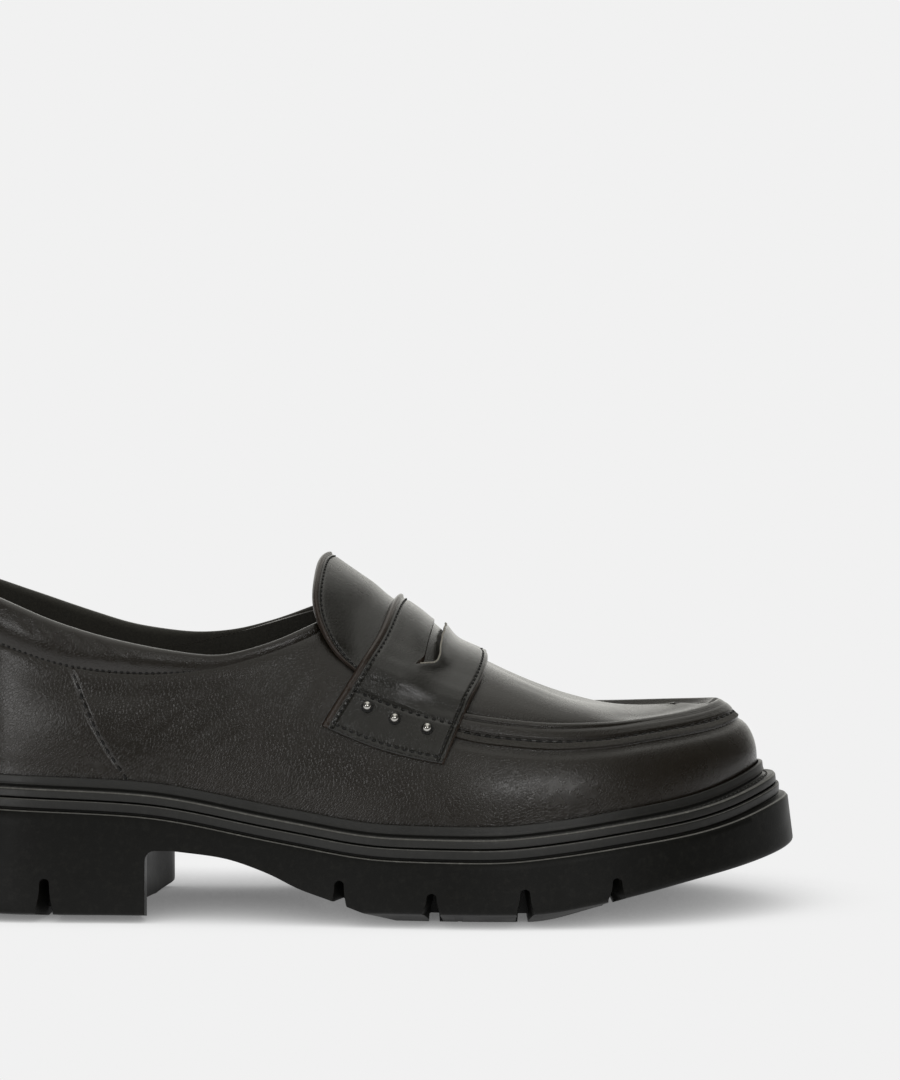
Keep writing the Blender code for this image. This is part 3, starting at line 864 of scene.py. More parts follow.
@dataclass
class Stitching(SubAssembly):
    """Sewn rows of thread, each stitch a short rounded strand that dips into its needle holes."""

    around: int = 8
    along: int = 7

    def __post_init__(self) -> None:
        """Starts with no stitches."""
        self.points: list[Array] = []

    def sew(self, path: Array, normals: Array, stitch: Stitch) -> None:
        """Lays stitches along a path.

        Args:
            path: Points along the seam, on the surface.
            normals: Outward normals at those points.
            stitch: Sizes of the stitches.
        """
        path = path + normals * stitch.stand
        arcs = arc_lengths(path)
        count = max(int(arcs[-1] / stitch.pitch), 1)
        middles = (np.arange(count) + 0.5) * arcs[-1] / count
        share = np.linspace(-1.0, 1.0, self.along)
        at = middles[:, None] + share[None, :] * stitch.length / 2
        line = np.stack([np.interp(at, arcs, path[:, k]) for k in range(3)], axis=-1)
        out = unit(np.stack([np.interp(at, arcs, normals[:, k]) for k in range(3)], axis=-1))
        tangent = unit(np.gradient(line, axis=1))
        across = np.cross(tangent, out)
        radius = stitch.width / 2 * np.sqrt(np.maximum(1 - np.abs(share) ** 5, 0.02))
        sunk = line - out * (stitch.dip * np.abs(share) ** 3)[None, :, None]
        turn = np.linspace(0.0, 2 * math.pi, self.around, endpoint=False)
        spokes = out[:, :, None, :] * np.sin(turn)[:, None] + across[:, :, None, :] * np.cos(turn)[:, None]
        self.points.append(sunk[:, :, None, :] + spokes * radius[None, :, None, None])

    def build(self, name: str, finish: Material, slot: str) -> None:
        """Joins the stitches laid so far into one piece.

        Args:
            name: The piece's name.
            finish: The material of the thread.
            slot: The record's material slot.
        """
        points = np.concatenate(self.points)
        strand, _ = strip_faces(self.along, self.around)
        starts = np.arange(len(points)) * self.along * self.around
        faces = (strand[None] + starts[:, None, None]).reshape(-1, 4)
        self.points = []
        self.add(name, points, faces, [finish], slot, sharp=80.0)


@dataclass
class Upper(SubAssembly):
    """Quarters and vamp: one lasted skin up to the collar seam behind and over the moccasin rim in front."""

    columns: int = 480
    wall_rows: int = 46
    wall: float = 1.5
    # x, lateral and medial height of the line that the skin ends on
    rim_rows: Rows = (
        (-134, 92, 92), (-107, 85, 86), (-94, 80.9, 82.4), (-83, 77.8, 80), (-72, 76.2, 78.8),
        (-60, 75.6, 78.3), (-44, 76.9, 81.7), (-29, 80.3, 86.2), (-11, 86.8, 92.2), (0, 92, 95.5),
        (10, 90, 92), (18, 80, 81), (24, 70.5, 71), (28.5, 66, 66.4), (36.3, 62.9, 64.2), (48, 61, 62.4),
        (66, 59.4, 61.3), (80, 59.2, 61.6), (91, 59.8, 62.2), (105, 61.3, 63.1), (114, 62.9, 63.8),
        (119, 64.5, 64.6), (126, 66, 66),
    )
    rim_start: Span = (28.0, 33.0)
    # Way down from the rim, height of the moccasin seam: rolled rim, fold, face, stitched line and lip
    moc_rows: Rows = (
        (-3, -1.5), (-2, -0.9), (-1, 0.4), (-0.5, 1.2), (0, 1.55), (0.6, 1.6), (1.1, 1.4), (1.45, 0.95),
        (1.85, 1.3), (2.6, 1.35), (3.6, 1.15), (4.7, 0.85), (5.2, 0.3), (5.7, 0.15), (6.1, 0.7),
        (6.5, 0.95), (7.3, 0.9), (7.7, 0.6), (8, -0.35), (8.5, -0.7), (11.5, -0.05), (12.8, 0),
    )
    moc_stitch: float = 5.6
    # How much lower the lip is at the toe, and from where to where along the shoe
    toe_ease: float = 0.75
    toe_reach: Span = (96.0, 120.0)
    lip_way: float = 6.9
    lip_width: float = 0.9
    # How much the rim's fold fills up at the toe, its way down, and from where to where along the shoe
    fold_ease: float = 0.45
    fold_way: float = 1.45
    fold_width: float = 0.35
    fold_reach: Span = (72.0, 104.0)
    # Ways down from the rim between which the lip band is drawn in a paler grey leather
    lip_span: Span = (6.0, 7.9)
    # Ways down from the rim of the rows of points: from, to and how many; and the row that lies on the rim
    down_rows: Rows = ((12.8, 10.2, 5), (9.95, -1.45, 70), (-1.8, -3, 5))
    rim_row: int = -10
    # Share of the relief that is lost towards the rim, and the way over which it goes
    calm: float = 0.5
    calm_reach: float = 7.0
    # Rows of the skin for one row of the felt inside
    felt_every: int = 6
    moc_thread: Stitch = Stitch(3.1, 2.2, 0.6, stand=0.25)
    # Way down from the collar seam, height of the skin that runs in under the collar
    tuck_rows: Rows = ((-3, -1.4), (-1, -1), (0, -0.45), (1.2, 0.2), (3, 0.3), (7, 0.1), (12.8, 0))
    # Height and x of the lapped seam of the heel counter
    counter_rows: Rows = ((42, -66), (51.7, -72.5), (63.5, -78.6), (79, -84.6))
    counter_depth: float = 0.5
    counter_width: float = 0.6
    counter_lap: float = 0.12
    # Ways in front of the seam over which the lap rises and falls off
    lap_rise: Span = (-0.2, 0.5)
    lap_fall: Span = (2.0, 16.0)
    # Lowest and highest of the places that its thread is laid through, how many, and how far beside the seam
    counter_sewn: tuple[float, float, int] = (42.0, 75.8, 40)
    counter_beside: float = 0.1
    counter_thread: Stitch = Stitch(3.1, 2.1, 0.7, stand=0.25)
    # Height of the stiffened counter's swell, its middle along the shoe and its width
    swell: tuple[float, float, float] = (1.2, -78.0, 20.0)
    # Heights where the swell starts, is full and ends
    swell_heights: tuple[float, float, float] = (42.0, 60.0, 80.0)
    # Heights over the feather line between which creases and swells fade in
    relief_from: Span = (0.5, 6.0)
    # Where along the shoe the columns stand closer, so that the counter's seam is drawn sharp
    counter_span: Span = (-90.0, -62.0)
    counter_columns: int = 72
    unevenness: Waves = Waves(0.1, 17.0, 3.1)
    creases: tuple[Crease, ...] = (
        Crease((-64, 58), (-50, 68), 0.09, 1.1), Crease((-58, 56), (-40, 69), 0.1, 1.2),
        Crease((-49, 54), (-33, 65), 0.08, 1.2), Crease((-40, 52), (-27, 61), 0.07, 1.1),
        Crease((-66, 66), (-56, 73), 0.08, 1), Crease((-16, 62), (-7, 76), 0.12, 1.9),
        Crease((43.5, 32), (48.5, 41), 0.05, 0.9), Crease((47, 33), (54, 43), 0.06, 0.9),
        Crease((52.5, 35), (60, 45), 0.06, 1), Crease((58.5, 38), (67, 46), 0.05, 1),
        Crease((66, 41), (76, 49), 0.05, 1.1),
    )

    def __post_init__(self) -> None:
        """Turns the tables to curves."""
        self.rim = {side: column(self.rim_rows, at, 2.5) for at, side in enumerate(Side, 1)}
        self.moc = column(self.moc_rows, 1, 0.08)
        self.counter = column(self.counter_rows, 1, 2.0)
        self.tuck = column(self.tuck_rows, 1, 0.3)

    def rim_reach(self, ring: Array) -> Array:
        """How far up the surface from the feather line the skin ends, at each place of a row."""
        lateral, medial = (self.last.lean_at(ring, line) for line in self.rim.values())
        return self.last.climb(ring, np.where(np.mod(ring, 2.0) <= 1, lateral, medial))

    def relief(self, spots: Array) -> Array:
        """Height of the creases, the counter seam and the unevenness of lasting at each point."""
        x = spots[..., 0]
        z = spots[..., 2]
        across = x - self.counter(z)
        lap = self.counter_lap * ramp(across, *self.lap_rise) * (1 - ramp(across, *self.lap_fall))
        total = lap - self.counter_depth * bell(across, self.counter_width)
        total = total + self.unevenness.at(spots)
        rise, middle, width = self.swell
        low, full, high = self.swell_heights
        total = total + rise * bell(x - middle, width) * ramp(z, low, full) * (1 - ramp(z, full, high))
        for crease in self.creases:
            total = total + crease.height(x, z)
        return total * ramp(z - self.last.feather_z(x), *self.relief_from)

    def build(self, stitching: Stitching) -> None:
        """Makes the skin with its felt inside, and sews the moccasin and counter seams.

        Args:
            stitching: Takes the rows of thread.
        """
        ring = self.last.even_rings(self.columns)
        start, end = (self.last.turn_of(x) for x in self.counter_span)
        turn = np.minimum(ring, 2 - ring)
        close = np.linspace(start, end, self.counter_columns)
        ring = np.sort(np.concatenate((ring[(turn < start) | (turn > end)], close, 2 - close)))
        rim = self.rim_reach(ring)[:, None]
        down = np.concatenate([np.linspace(*span) for span in self.down_rows])
        up = np.linspace(0.0, 1.0, self.wall_rows, endpoint=False)
        leans = self.last.leans_up(ring, np.hstack((up * (rim - down[0]), rim - down)))
        # The first row lies straight under the feather line, where the skin is turned in
        leans = np.hstack((np.full((len(ring), 1), -1.0), leans))
        spots = self.last.point(ring[:, None], leans)
        normals = self.last.normal(ring[:, None], leans)
        count = spots.shape[1]
        first = count - len(down)
        rim_x = spots[:, self.rim_row, :1]
        spans = (self.rim_start, self.toe_reach, self.fold_reach)
        front, toe, filled = (ramp(rim_x, *span) for span in spans)
        edge = front * self.moc(down) + (1 - front) * self.tuck(down)
        edge = edge - self.toe_ease * toe * bell(down - self.lip_way, self.lip_width)
        edge = edge + self.fold_ease * filled * bell(down - self.fold_way, self.fold_width)
        height = self.relief(spots)
        height[:, first:] *= 1 - self.calm * ramp(-down, -down[0], -down[0] + self.calm_reach)
        height[:, first:] += edge
        outer = spots + normals * height[..., None]
        felt = np.append(np.arange(0, self.wall_rows, self.felt_every), (self.wall_rows, count - 1))[::-1]
        depth = np.minimum(height[:, felt], 0.0) - self.wall
        section = np.hstack((outer, spots[:, felt] + normals[:, felt] * depth[..., None]))
        rows = section.shape[1]
        seam = first + int(np.argmin(np.abs(down - self.moc_stitch)))
        shown = spots[:, seam, 0] > self.rim_start[1]
        marks = np.tile(np.arange(rows) >= count, (len(ring), 1)).astype(int)
        lip = (down > self.lip_span[0]) & (down < self.lip_span[1])
        marks[np.ix_(shown, first + np.flatnonzero(lip))] = 2
        finishes = [self.palette.leather, self.palette.felt, self.palette.lip]
        faces = sweep_faces(len(ring), rows, wrap=True)
        name = "quarters_and_vamp"
        self.add(name, section, faces, finishes, "upper_leather", ["upper"], marks.ravel(), sharp=60.0)
        stitching.sew(outer[shown, seam], normals[shown, seam], self.moc_thread)
        self.sew_counter(stitching)

    def sew_counter(self, stitching: Stitching) -> None:
        """Sews the seam of the heel counter on both sides."""
        z = np.linspace(*self.counter_sewn)
        x = self.counter(z) + self.counter_beside
        for side in Side:
            turn, lean = self.last.place_of(x, z, side)
            spots = self.last.point(side.place(turn), lean)
            normals = self.last.normal(side.place(turn), lean)
            stitching.sew(spots + normals * self.relief(spots)[:, None], normals, self.counter_thread)


@dataclass
class Collar(SubAssembly):
    """The padded collar: a leather roll from the collar seam over the top edge, felt on the inside."""

    columns: int = 340
    front_x: float = 4.0
    # x, lateral and medial height of the top edge, width of the collar down to its seam
    rows: Rows = (
        (-134, 107.5, 107.5, 14.8), (-126, 105.5, 106.5, 14.7), (-107, 98.8, 100, 14.1),
        (-88, 91, 93.4, 12.7), (-69, 85.5, 88, 9.6), (-50, 82, 86, 5.9), (-40, 81, 86.8, 4.1),
        (-26, 84, 90.2, 3.3), (-10, 90.6, 96, 3.6), (2, 97, 100, 3.6), (12, 103, 104, 3.6),
    )
    thick_back: float = 4.8
    thick_front: float = 2.2
    swell_back: float = 2.5
    swell_front: float = 0.45
    thin_from: Span = (-72.0, -40.0)
    # Half width over which the corners of the tables are eased
    ease: float = 3.0
    # How far the leather runs on under the seam, the seam's depth, and the share of the width at the fullest
    tuck: float = 1.2
    seam_depth: float = 0.7
    full_share: float = 0.6
    # Share of the swell that is lost again at the top edge
    droop: float = 0.2
    # How far under the seam the felt inside goes down, how deep it lies there, and where it leaves the roll
    inner_reach: float = 7.0
    inner_depth: float = 1.3
    inner_leave: Span = (0.3, 1.0)
    # Closeness of the rows at the seam, the rows over which creases fade in, and the stitched row
    crowd: float = 1.2
    soft_rows: Span = (1.0, 5.0)
    seam_row: int = 3
    thread: Stitch = Stitch(1.9, 1.35, 0.5, stand=0.08)
    unevenness: Waves = Waves(0.08, 9.0, 7.7)
    outer_rows: int = 18
    roll_rows: int = 10
    inner_rows: int = 8
    creases: tuple[Crease, ...] = (
        Crease((-101, 95), (-93, 86), 0.1, 0.9), Crease((-94, 92), (-85, 83), 0.1, 0.9),
        Crease((-86, 90), (-77, 81), 0.12, 0.9), Crease((-79, 87.5), (-70, 79), 0.12, 0.9),
        Crease((-71, 84.5), (-62, 77.5), 0.1, 0.8),
    )

    def build(self, stitching: Stitching) -> None:
        """Makes the collar and sews its seam.

        Args:
            stitching: Takes the row of thread.
        """
        top_line = {side: column(self.rows, at, self.ease) for at, side in enumerate(Side, 1)}
        end = self.front_x
        ends = [float(self.last.place_of(end, line(end), side)[0]) for side, line in top_line.items()]
        ring = np.linspace(-ends[1], ends[0], self.columns)
        lateral, medial = (self.last.lean_at(ring, line) for line in top_line.values())
        lean = np.where(ring >= 0, lateral, medial)
        top = self.last.climb(ring, lean)
        x = self.last.point(ring, lean)[:, 0]
        width = column(self.rows, 3, self.ease)(x)[:, None]
        thin = ramp(x, *self.thin_from)[:, None]
        radius = (self.thick_back + (self.thick_front - self.thick_back) * thin) / 2
        swell = self.swell_back + (self.swell_front - self.swell_back) * thin
        share = np.linspace(0.0, 1.0, self.outer_rows)[None, :] ** self.crowd
        rise = -self.tuck + (width - radius + self.tuck) * share
        full = np.clip((rise + self.tuck) / (self.full_share * width + self.tuck), 0.0, 1.0)
        lift = (swell + self.seam_depth) * np.sin(full * QUARTER) - self.seam_depth
        lift = lift - self.droop * swell * np.maximum(rise / width, 0.0) ** 2
        turn = np.linspace(0.0, math.pi, self.roll_rows + 2)[None, 1:-1]
        roll_rise = width - radius + radius * np.sin(turn)
        roll_lift = lift[:, -1:] - radius + radius * np.cos(turn)
        inner_share = np.linspace(0.0, 1.0, self.inner_rows)[None, :]
        inner_rise = (width - radius) * (1 - inner_share) - self.inner_reach * inner_share
        sunk = ramp(inner_share, *self.inner_leave)
        inner_lift = (lift[:, -1:] - 2 * radius) * (1 - sunk) - self.inner_depth * sunk
        reach = top[:, None] - width + np.hstack((rise, roll_rise, inner_rise))
        lifts = np.hstack((lift, roll_lift, inner_lift))
        leans = self.last.leans_up(ring, reach)
        spots = self.last.point(ring[:, None], leans)
        normals = self.last.normal(ring[:, None], leans)
        outer_count = self.outer_rows + self.roll_rows
        outer = spots[:, :outer_count]
        soft = self.unevenness.at(outer)
        for crease in self.creases:
            soft = soft + crease.height(outer[..., 0], outer[..., 2])
        lifts[:, :outer_count] += soft * ramp(np.arange(outer_count), *self.soft_rows)
        section = spots + normals * lifts[..., None]
        row = np.arange(section.shape[1])
        faces, marks = strip_faces(self.columns, len(row), row >= self.outer_rows + self.roll_rows // 2)
        finishes = [self.palette.leather, self.palette.felt]
        piece = self.add("padded_collar", section, faces, finishes, "upper_leather", marks=marks, sharp=60.0)
        stitching.sew(section[:, self.seam_row], normals[:, self.seam_row], self.thread)


@dataclass
class Plug(SubAssembly):
    """The apron over the toes: one sheet set down inside the moccasin rim."""

    columns: int = 170
    rear_x: float = 8.0
    wall: float = 1.4
    middle_rows: int = 40
    edge_reach: float = 9.0
    edge_count: int = 14
    # Closeness of the columns at the toe and of the rows at the rim
    toe_crowd: float = 1.3
    edge_crowd: float = 1.5
    # How far in from the rim the sheet starts, and the steps in which the way across is measured
    inset: float = 1.0
    across_steps: int = 500
    # Way in from the rim, height of the sheet
    edge_rows: Rows = ((0, -1.3), (0.8, -0.95), (1.8, -0.6), (3.5, -0.3), (6, -0.1), (9, 0))
    unevenness: Waves = Waves(0.07, 14.0, 5.3)
    # How far the sheet lies under the last at the toe, from where along the shoe and how far in from the rim
    sink: float = 2.0
    sink_along: Span = (72.0, 100.0)
    sink_across: Span = (0.0, 6.0)
    # Soft folds that fan out from the strap, by x and y
    folds: tuple[Crease, ...] = (
        Crease((52, -21), (66, -24), 0.1, 1.1), Crease((54, -14), (70, -16), 0.1, 1.2),
        Crease((56, 8), (70, 10), 0.1, 1.2), Crease((52, 18), (66, 22), 0.1, 1.1),
    )

    def build(self, upper: Upper) -> None:
        """Makes the sheet.

        Args:
            upper: Gives the rim that the sheet is set into.
        """
        first = self.last.turn_of(self.rear_x)
        turn = 1 - (1 - first) * np.linspace(1.0, 0.0, self.columns) ** self.toe_crowd
        near, far = (
            self.last.leans_up(ring, upper.rim_reach(ring)[:, None] + self.inset)[:, 0]
            for ring in (turn, 2 - turn)
        )
        far = 2 * QUARTER - far
        table = near[:, None] + (far - near)[:, None] * np.linspace(0.0, 1.0, self.across_steps)
        arcs = arc_lengths(self.last.point(turn[:, None], table))
        length = arcs[:, -1:]
        narrow = np.minimum(length / (3 * self.edge_reach), 1.0)
        rim = self.edge_reach * np.linspace(0.0, 1.0, self.edge_count)[None, :] ** self.edge_crowd * narrow
        share = np.linspace(0.0, 1.0, self.middle_rows)[None, 1:-1]
        middle = rim[:, -1:] + (length - 2 * rim[:, -1:]) * share
        across = np.hstack((rim, middle, length - rim[:, ::-1]))
        leans = np.stack([np.interp(a, arc, t) for a, arc, t in zip(across, arcs, table)])
        spots = self.last.point(turn[:, None], leans)
        normals = self.last.normal(turn[:, None], leans)
        inward = np.minimum(across, length - across)
        height = column(self.edge_rows, 1, 0.3)(inward) + self.unevenness.at(spots)
        bowl = across * (1 - across / length)
        height = height - self.sink * ramp(spots[..., 0], *self.sink_along) * ramp(bowl, *self.sink_across)
        for fold in self.folds:
            height = height + fold.height(spots[..., 0], spots[..., 1])
        outer = spots + normals * height[..., None]
        inner = spots + normals * (height - self.wall)[..., None]
        section = np.hstack((outer, inner[:, ::-1]))
        row = np.arange(section.shape[1])
        # At the toe the sheet comes to a point, so only its rear end is closed
        faces, marks = strip_faces(self.columns, len(row), row >= outer.shape[1], capped=(0,))
        finishes = [self.palette.leather, self.palette.felt]
        self.add("vamp_plug", section, faces, finishes, "upper_leather", marks=marks, sharp=60.0)


def carve(piece: Object, cutter: Object, sharp: float) -> None:
    """Cuts one closed mesh out of a piece and throws the cutter away.

    Args:
        piece: The piece that is cut.
        cutter: What is taken out; its material goes onto the cut faces.
        sharp: Angle in degrees over which an edge stays sharp.
    """
    cut = piece.modifiers.new("cut", "BOOLEAN")
    cut.operation = "DIFFERENCE"
    cut.solver = "EXACT"
    cut.material_mode = "TRANSFER"
    cut.object = cutter
    bpy.context.view_layer.update()
    whole = piece.data
    piece.data = bpy.data.meshes.new_from_object(piece.evaluated_get(bpy.context.evaluated_depsgraph_get()))
    piece.modifiers.clear()
    bpy.data.meshes.remove(whole)
    bpy.data.objects.remove(cutter, do_unlink=True)
    piece.data.shade_smooth()
    piece.data.set_sharp_from_angle(angle=math.radians(sharp))


@dataclass
class Band(SubAssembly):
    """A strip of leather across the instep between a rear and a front edge, with rounded turned edges.

    A place on it is a station, 0 at the lateral end, 1 on the ridge and 2 at the medial end, and a way in
    millimetres from its rear edge.
    """

    rear: Rows = ()
    front: Rows = ()
    thick: float = 2.0
    stations: int = 150
    edge_reach: float = 5.0
    edge_count: int = 22
    middle_count: int = 24
    end_reach: float = 4.0
    end_count: int = 12
    # Widths of the rear and the front edge's own finish, and the number of the underside's material
    rear_trim: float = 0.0
    front_trim: float = 0.0
    under: int = 0
    # Steps in which the ways along and across the band are measured
    along_steps: int = 800
    across_steps: int = 240

    def edge_curves(self, rows: Rows) -> tuple[Curve, Curve]:
        """Finds the ring and the lean along one edge.

        Args:
            rows: Side view points from the lower end up to the ridge.

        Returns:
            Curves of the turn and the lean over the stations.
        """
        x, z = np.array(rows).T
        near_turn, near_lean = self.last.place_of(x, z, Side.LATERAL)
        far_turn, far_lean = self.last.place_of(x, z, Side.MEDIAL)
        at = np.linspace(0.0, 2.0, 2 * len(rows) - 1)
        turns = np.concatenate((near_turn[:-1], [(near_turn[-1] + far_turn[-1]) / 2], far_turn[-2::-1]))
        leans = np.concatenate((near_lean[:-1], [QUARTER], 2 * QUARTER - far_lean[-2::-1]))
        return Curve(at, turns, 0.05), Curve(at, leans, 0.05)

    def lay_out(self) -> None:
        """Works out the places of the band's grid on the last."""
        rear = self.edge_curves(self.rear)
        front = self.edge_curves(self.front)
        probe = np.linspace(0.0, 2.0, self.along_steps)
        middle = self.last.point(*((first(probe) + second(probe)) / 2 for first, second in zip(rear, front)))
        lengths = arc_lengths(middle)
        total = lengths[-1]
        end = np.linspace(0.0, self.end_reach, self.end_count)
        inside = np.linspace(end[-1], total - end[-1], self.stations - 2 * self.end_count + 2)[1:-1]
        along = np.concatenate((end, inside, total - end[::-1]))
        self.station = np.interp(along, lengths, probe)
        steps = np.linspace(0.0, 1.0, self.across_steps)
        turns, leans = (
            first(self.station)[:, None] * (1 - steps) + second(self.station)[:, None] * steps
            for first, second in zip(rear, front)
        )
        arcs = arc_lengths(self.last.point(turns, leans))
        edge = self.edge_reach * np.linspace(0.0, 1.0, self.edge_count)[None, :]
        edge = np.repeat(edge, len(arcs), axis=0)
        between = arcs[:, -1:] - 2 * self.edge_reach
        inner = self.edge_reach + between * np.linspace(0.0, 1.0, self.middle_count)[None, 1:-1]
        self.from_rear = np.hstack((edge, inner, arcs[:, -1:] - edge[:, ::-1]))
        self.from_front = arcs[:, -1:] - self.from_rear
        self.from_end = np.minimum(along, total - along)[:, None]
        self.way = np.minimum(self.station, 2 - self.station)[:, None]
        self.share = np.stack([np.interp(a, arc, steps) for a, arc in zip(self.from_rear, arcs)])
        self.ring = np.stack([np.interp(s, steps, t) for s, t in zip(self.share, turns)])
        self.lean = np.stack([np.interp(s, steps, t) for s, t in zip(self.share, leans)])
        self.spots = self.last.point(self.ring, self.lean)
        self.normals = self.last.normal(self.ring, self.lean)

    def lift(self) -> Array:
        """How far the band's underside stands off the last, at each place of its grid."""
        raise NotImplementedError

    def relief(self) -> Array:
        """How far the band's face stands over its plain thickness, at each place of its grid."""
        raise NotImplementedError

    def face(self) -> Array:
        """The band's outer face."""
        return self.spots + self.normals * (self.lift() + self.thick + self.relief())[..., None]

    def make(self, name: str, node: str, finishes: Sequence[Material]) -> Object:
        """Makes the closed strip.

        Args:
            name: The piece's name.
            node: The solid that it replaces.
            finishes: Materials of the face, the edges and the underside.

        Returns:
            The new object.
        """
        inner = (self.spots + self.normals * self.lift()[..., None])[:, ::-1]
        section = np.hstack((self.face(), inner))
        count = inner.shape[1]
        row = np.arange(2 * count)
        kinds = np.where(row < count, 0, self.under)
        edged = (self.from_rear[0] < self.rear_trim) | (self.from_front[0] < self.front_trim)
        kinds[:count][edged] = 1
        kinds[[count - 1, -1]] = 1
        faces, marks = strip_faces(len(section), len(row), kinds, cap_kind=1)
        return self.add(name, section, faces, finishes, "strap_leather", [node], marks, sharp=50.0)

    def row_at(self, way: float, from_front: bool = False) -> int:
        """The row of the grid that lies nearest a way in from the rear or front edge."""
        table = self.from_front if from_front else self.from_rear
        return int(np.argmin(np.abs(table[len(table) // 2] - way)))


@dataclass
class Tongue(Band):
    """The bound flap over the instep, whose front end runs in under the strap."""

    rear: Rows = ((3, 75.8), (-3.6, 81.2), (-8.9, 88.8), (-11.2, 97), (-10.8, 104.5), (-8.3, 110.5))
    front: Rows = ((14, 72), (14.5, 78), (17, 84), (20.5, 89), (26, 88.2))
    thick: float = 1.6
    gap: float = 0.55
    flare: float = 2.4
    stand: float = 0.7
    # Shares of the width, and stations, between which the flare and the stand fade in or out
    flare_share: Span = (0.0, 0.5)
    flare_from: Span = (0.1, 0.35)
    flare_to: Span = (0.6, 0.95)
    stand_share: Span = (0.4, 0.6)
    stand_from: Span = (0.6, 0.9)
    rear_trim: float = 1.5
    under: int = 2
    stitch: float = 2.7
    thread: Stitch = Stitch(1.8, 1.3, 0.55, stand=0.12)
    unevenness: Waves = Waves(0.08, 12.0, 1.7)
    # Way in from the bound edge, height of the binding, its seam and the stitched line
    edge_rows: Rows = (
        (0, -0.9), (0.25, -0.1), (0.7, 0.35), (1.2, 0.3), (1.6, -0.2), (2, 0), (2.7, -0.18), (3.4, 0.05),
        (6, 0),
    )

    def lift(self) -> Array:
        """How far the flap stands off the quarters: its free edge flares a little."""
        flare = (1 - ramp(self.share, *self.flare_share)) * ramp(self.way, *self.flare_from)
        flare = flare * (1 - ramp(self.way, *self.flare_to))
        stand = (1 - ramp(self.share, *self.stand_share)) * ramp(self.way, *self.stand_from)
        return self.gap + self.flare * flare + self.stand * stand

    def relief(self) -> Array:
        """Binding, stitched line and unevenness."""
        return column(self.edge_rows, 1, 0.08)(self.from_rear) + self.unevenness.at(self.spots)

    def build(self, stitching: Stitching) -> None:
        """Makes the flap and sews its bound edge.

        Args:
            stitching: Takes the row of thread.
        """
        self.lay_out()
        self.make("bound_tongue", "tongue", [self.palette.strap, self.palette.edge, self.palette.felt])
        row = self.row_at(self.stitch)
        stitching.sew(self.face()[:, row], self.normals[:, row], self.thread)


